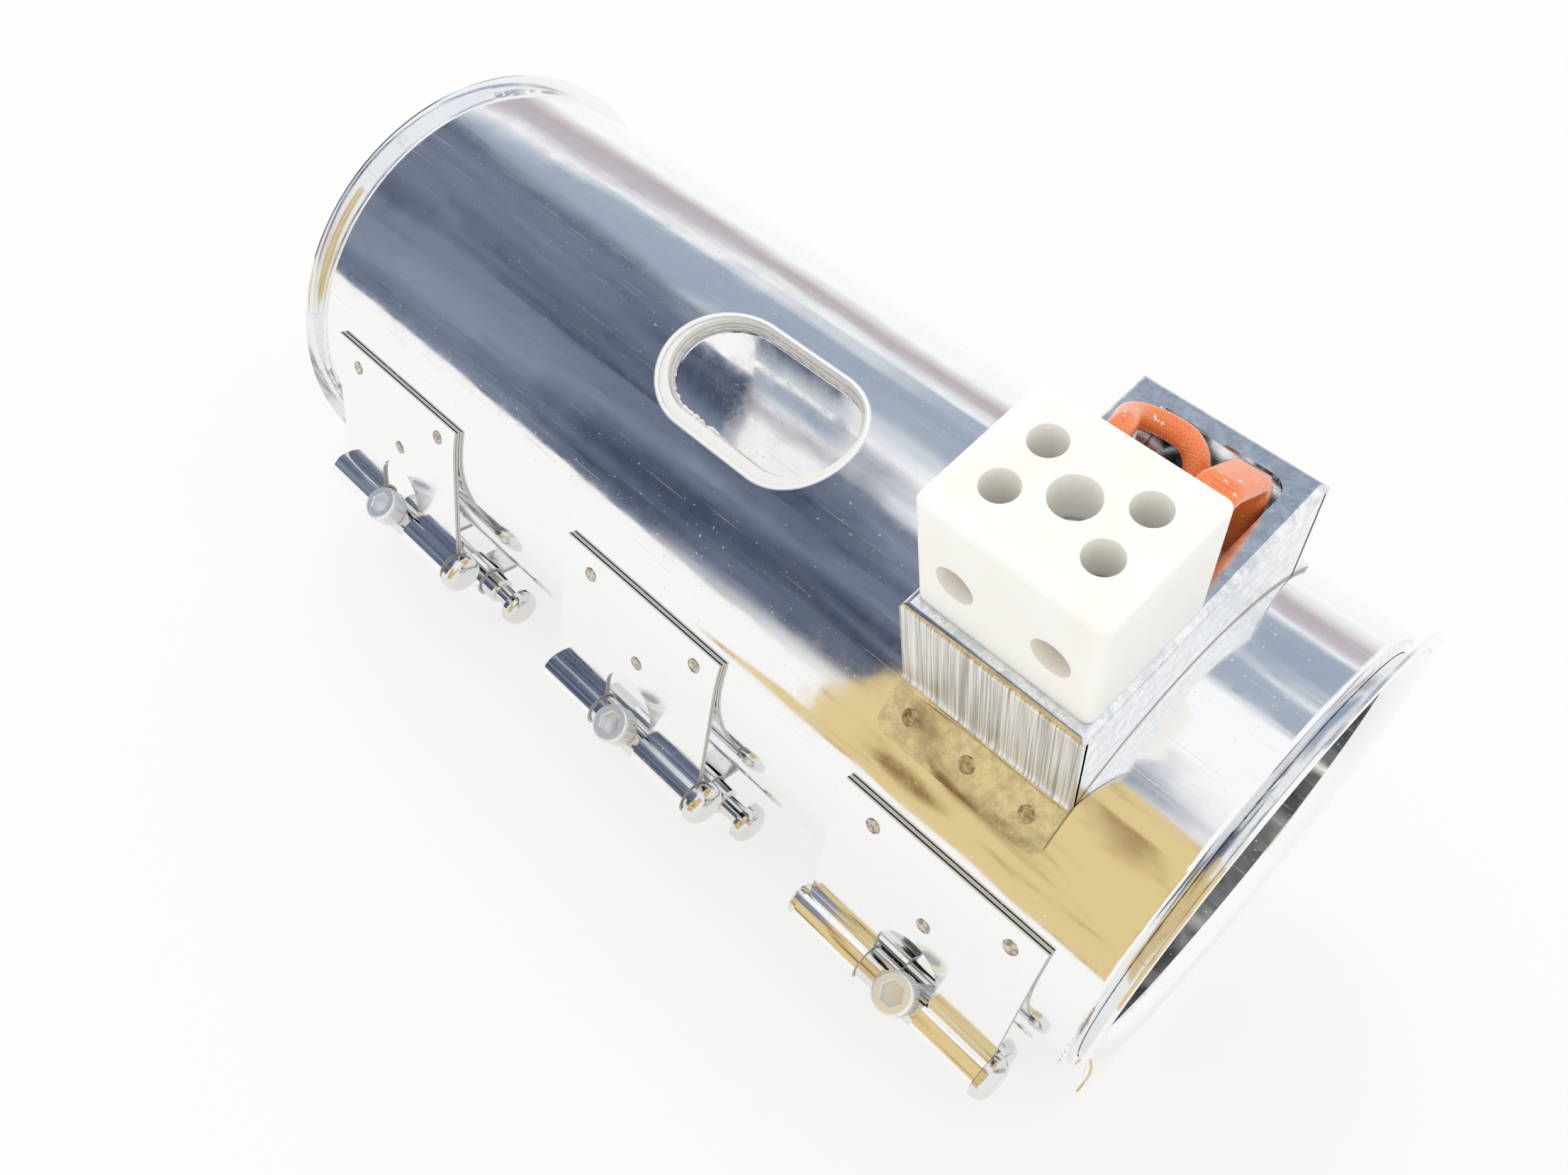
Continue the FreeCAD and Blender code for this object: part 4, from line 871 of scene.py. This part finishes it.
class HEATER_OT_clamp_screws(bpy.types.Operator):
    """Makes the clamps' socket-head screws with their knurl and thread"""
    bl_idname = "heater.clamp_screws"
    bl_label = "Clamp Screws"

    def execute(self, context):
        settings = context.scene.heater
        near, far = on_circle(*NEAR_PIN), on_circle(*FAR_PIN)
        up = resting_way(near[0] - far[0], near[1] - far[1])
        tree = screw_tree(zinc_plate(settings.zinc_colour))
        threaded = SCREW_LENGTH - PLAIN_LENGTH - THREAD_RUNOUT
        for i, x in enumerate(SCREW_XS, 1):
            name = "clamp_screw_%d" % i
            screw = grow("cap_screw_%d" % i, screw_core(), tree, name, {
                "Ridges": settings.knurl_ridges, "Head Radius": KNURL_RADIUS * MM,
                "Ridge Height": KNURL_RISE * MM, "Ridge Length": KNURL_LENGTH * MM,
                "Ridge Middle": KNURL_MIDDLE * MM, "Thread Radius": SHANK_RADIUS * MM,
                "Thread Depth": THREAD_DEPTH * MM, "Thread Turns": threaded / settings.thread_pitch,
                "Thread Length": threaded * MM, "Thread Start": (THREAD_TIP - SCREW_LENGTH) * MM,
                "Place": resting(x, *near) + up * SCREW_SEAT * MM,
                "Turn": (math.atan2(-up.y, up.z), 0, 0)})
            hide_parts(name)
        return {"FINISHED"}


class HEATER_OT_spot_welds(bpy.types.Operator):
    """Marks the spot welds on the leaves and on the terminal box's feet"""
    bl_idname = "heater.spot_welds"
    bl_label = "Spot Welds"

    def execute(self, context):
        settings = context.scene.heater
        places, ways = zip(*weld_places())
        tree = weld_tree(heat_tint(settings.weld_tint))
        mesh = seed_mesh("Spot_Welds", places, facing=ways)
        grow("spot_welds", mesh, tree, "heater", {
            "Ring Radius": settings.weld_radius * MM, "Bead Radius": settings.weld_bead * MM})
        return {"FINISHED"}


class HEATER_OT_terminal_box(bpy.types.Operator):
    """Finishes the terminal box and the screw and nut that hold the block on it"""
    bl_idname = "heater.terminal_box"
    bl_label = "Terminal Box"

    def execute(self, context):
        settings = context.scene.heater
        box = box_sheet(settings.sheet_colour, settings.sheet_gloss)
        paint(box, "bright_steel", "terminal_box")
        paint(zinc_plate(settings.zinc_colour), "zinc_screw", "fixing", "terminal_screw")
        return {"FINISHED"}


class HEATER_OT_ceramic_block(bpy.types.Operator):
    """Finishes the ceramic block and the brass bars in it"""
    bl_idname = "heater.ceramic_block"
    bl_label = "Ceramic Block"

    def execute(self, context):
        block = unglazed_ceramic(context.scene.heater.ceramic_colour)
        paint(block, "white_ceramic", "ceramic_block")
        # Milled brass, a little dulled.
        paint(plain_metal("Milled_Brass", linear("D9B768"), 0.28), "brass_bar", "terminal_bar")
        return {"FINISHED"}


class HEATER_OT_leads(bpy.types.Operator):
    """Makes the braided sleeves of the two leads and finishes the wires in them"""
    bl_idname = "heater.leads"
    bl_label = "Leads"

    def execute(self, context):
        settings = context.scene.heater
        # Nickel wire: soft grey, barely shiny.
        wire = plain_metal("Drawn_Nickel_Wire", linear("CBC7BE"), 0.3)
        paint(wire, "nickel_wire", "lead_conductor")
        tree = sleeve_tree(lacquered_braid(
            settings.sleeve_colour, settings.braid_pitch * MM, settings.braid_strands))
        for i, (points, (radius, spread)) in enumerate(zip(LEAD_ROUTES, LEAD_SHAPES), 1):
            route = rounded_route(points, LEAD_BEND)
            mesh = seed_mesh("Lead_Sleeve", route, [(j, j + 1) for j in range(len(route) - 1)],
                             side=side_ways(route, Vector((1, 0, 0))))
            sleeve = grow("braided_sleeve_%d" % i, mesh, tree, "heater", {
                "Radius": radius * MM, "Spread": spread * MM})
            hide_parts("lead_sleeve_%d" % i)
        return {"FINISHED"}


def sky_way(azimuth, height):
    """A direction in the room: degrees from +X towards +Y, and above the horizon."""
    a, h = math.radians(azimuth), math.radians(height)
    return math.cos(h) * math.cos(a), math.cos(h) * math.sin(a), math.sin(h)


def studio_world():
    """An even white room for matt surfaces. Bright metal shows its darker screens: a slate one
    behind the camera's left, and soft grey bands across the far side."""
    world = bpy.data.worlds.new("Studio")
    world.use_nodes = True
    tree = world.node_tree
    tree.nodes.clear()
    way = add_node(tree, "TexCoord").outputs["Generated"]
    cloud = add_node(tree, "TexNoise", {
        "Vector": way, "Scale": 3.5, "Detail": 5.0, "Roughness": 0.6}).outputs["Color"]
    about = add_node(tree, "VectorMath", {0: cloud, 1: (0.5, 0.5, 0.5)}, operation="SUBTRACT")
    stirred = add_node(tree, "VectorMath", {0: about, 1: (0.3, 0.3, 0.3), 2: way},
                       operation="MULTIPLY_ADD")
    height = add_node(tree, "SeparateXYZ", {"Vector": stirred}).outputs["Z"]
    bands = add_node(tree, "ValToRGB", {"Fac": height})
    stops = bands.color_ramp.elements
    while len(stops) < len(ROOM_BANDS):
        stops.new(0.5)
    for stop, (place, code) in zip(stops, ROOM_BANDS):
        stop.position, stop.color = place, linear(code)
    drift = add_node(tree, "TexNoise", {
        "Vector": way, "Scale": 2.2, "Detail": 6.0, "Roughness": 0.65, "Distortion": 0.8})
    patch = add_node(tree, "MapRange", {"Value": drift, "From Min": 0.40, "From Max": 0.66})
    slate = add_node(tree, "Mix", {"Factor": patch, 6: linear("434C60"), 7: linear("8691A4")})
    colour = linear("FFFFFF")
    # Each screen: its middle, the angles in degrees at which it begins and stops to fade, and its
    # colour.
    for centre, inner, outer, tone in ((sky_way(146, 20), 46, 66, bands.outputs["Color"]),
                                       (sky_way(124, 62), 9, 17, linear("A6B1C0")),
                                       (sky_way(-150, 28), 34, 46, slate.outputs[2])):
        near = add_node(tree, "VectorMath", {0: stirred, 1: centre}, operation="DOT_PRODUCT")
        mask = add_node(tree, "MapRange", {
            "Value": near.outputs["Value"], "From Min": math.cos(math.radians(outer)),
            "From Max": math.cos(math.radians(inner))}, interpolation_type="SMOOTHSTEP")
        colour = add_node(tree, "Mix", {"Factor": mask, 6: colour, 7: tone}).outputs[2]
    glossy = add_node(tree, "LightPath").outputs["Is Glossy Ray"]
    mirrored = add_node(tree, "Mix", {"Factor": glossy, 6: linear("FFFFFF"), 7: colour})
    sky = add_node(tree, "Background", {"Color": mirrored.outputs[2], "Strength": 1.0})
    add_node(tree, "OutputWorld", {"Surface": sky})
    bpy.context.scene.world = world


def table_top():
    """A white laminate table: matt where it is lit, and evenly white to the camera and in
    mirrors."""
    table, tree = new_material("White_Table_Top")[:2]
    matt = add_node(tree, "BsdfDiffuse", {"Color": linear("FBFAF8")})
    bright = add_node(tree, "Emission", {"Color": linear("FDFCFA")})
    path = add_node(tree, "LightPath").outputs
    seen = path["Is Camera Ray"]
    for ray in ("Is Glossy Ray", "Is Transmission Ray"):
        seen = add_node(tree, "Math", {0: seen, 1: path[ray]}, operation="MAXIMUM")
    share = add_node(tree, "Math", {0: seen, 1: TABLE_GLOW}, operation="MULTIPLY")
    top = add_node(tree, "MixShader", {"Fac": share, 1: matt, 2: bright})
    add_node(tree, "OutputMaterial", {"Surface": top})
    return table


def ochre_card():
    """Ochre card with brown patches, lit evenly: it gives the bright sheet its warm reflections."""
    card, tree, place = new_material("Ochre_Screen")
    patch = patches(tree, place, 62.5, (0.54, 0.66), 4.0)
    tone = add_node(tree, "Mix", {"Factor": patch, 6: linear("E4CC94"), 7: linear("8A6C3E")})
    glow = add_node(tree, "Emission", {"Color": tone.outputs[2]})
    add_node(tree, "OutputMaterial", {"Surface": glow})
    return card


def stage_sheet(name, corners, material, mirror_only=False):
    """A flat four-cornered part of the stage, which only mirrors see if asked."""
    mesh = bpy.data.meshes.new(name)
    mesh.from_pydata(corners, [], [(0, 1, 2, 3)])
    mesh.materials.append(material)
    sheet = bpy.data.objects.new(name, mesh)
    if mirror_only:
        sheet.visible_camera = sheet.visible_diffuse = sheet.visible_shadow = False
    bpy.context.scene.collection.objects.link(sheet)


class HEATER_OT_studio(bpy.types.Operator):
    """Sets the white table, the room, the soft light, the warm screens and the camera"""
    bl_idname = "heater.studio"
    bl_label = "Studio"

    def execute(self, context):
        scene = context.scene
        corners = [(x * TABLE_REACH, y * TABLE_REACH, FLOOR_Z)
                   for x, y in ((-1, -1), (1, -1), (1, 1), (-1, 1))]
        stage_sheet("Table", corners, table_top())
        card = ochre_card()
        for name, corners in SCREENS.items():
            stage_sheet(name, corners, card, True)
        light = bpy.data.lights.new("Soft_Key", "AREA")
        light.shape, light.energy = "RECTANGLE", KEY_POWER
        light.size = light.size_y = KEY_SIZE
        lamp = bpy.data.objects.new("Soft_Key", light)
        lamp.location = KEY_PLACE
        lamp.rotation_euler = Vector(KEY_PLACE).to_track_quat("Z", "Y").to_euler()
        lamp.visible_glossy = False
        scene.collection.objects.link(lamp)
        studio_world()
        camera = bpy.data.cameras.new("Camera")
        camera.lens, camera.sensor_width = CAMERA_LENS, SENSOR_WIDTH
        camera.clip_start, camera.clip_end = 0.01, 50
        stand = bpy.data.objects.new("Camera", camera)
        stand.location = CAMERA_PLACE
        stand.rotation_euler = Euler([math.radians(a) for a in CAMERA_TURN])
        scene.collection.objects.link(stand)
        scene.camera = stand
        scene.view_settings.view_transform = "Standard"
        return {"FINISHED"}


PIECES = (HEATER_OT_tube, HEATER_OT_slot_fibre, HEATER_OT_clamps, HEATER_OT_clamp_screws,
          HEATER_OT_spot_welds, HEATER_OT_terminal_box, HEATER_OT_ceramic_block, HEATER_OT_leads,
          HEATER_OT_studio)


class HEATER_PT_panel(bpy.types.Panel):
    """The heater's settings and its pieces"""
    bl_idname = "HEATER_PT_panel"
    bl_label = "Band Heater"
    bl_space_type = "VIEW_3D"
    bl_region_type = "UI"
    bl_category = "Heater"

    def draw(self, context):
        for name in HeaterSettings.__annotations__:
            self.layout.prop(context.scene.heater, name)
        for piece in PIECES:
            self.layout.operator(piece.bl_idname)


CLASSES = (HeaterSettings,) + PIECES + (HEATER_PT_panel,)


def register():
    """Makes the settings, the pieces' operators and the panel known to Blender."""
    for cls in CLASSES:
        bpy.utils.register_class(cls)
    bpy.types.Scene.heater = bpy.props.PointerProperty(type=HeaterSettings)


def unregister():
    """Takes them out again."""
    del bpy.types.Scene.heater
    for cls in reversed(CLASSES):
        bpy.utils.unregister_class(cls)


def main():
    """Dresses the frame piece by piece."""
    register()
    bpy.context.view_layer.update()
    bpy.ops.heater.tube()
    bpy.ops.heater.slot_fibre()
    bpy.ops.heater.clamps()
    bpy.ops.heater.clamp_screws()
    bpy.ops.heater.spot_welds()
    bpy.ops.heater.terminal_box()
    bpy.ops.heater.ceramic_block()
    bpy.ops.heater.leads()
    bpy.ops.heater.studio()


if __name__ == "__main__":
    main()
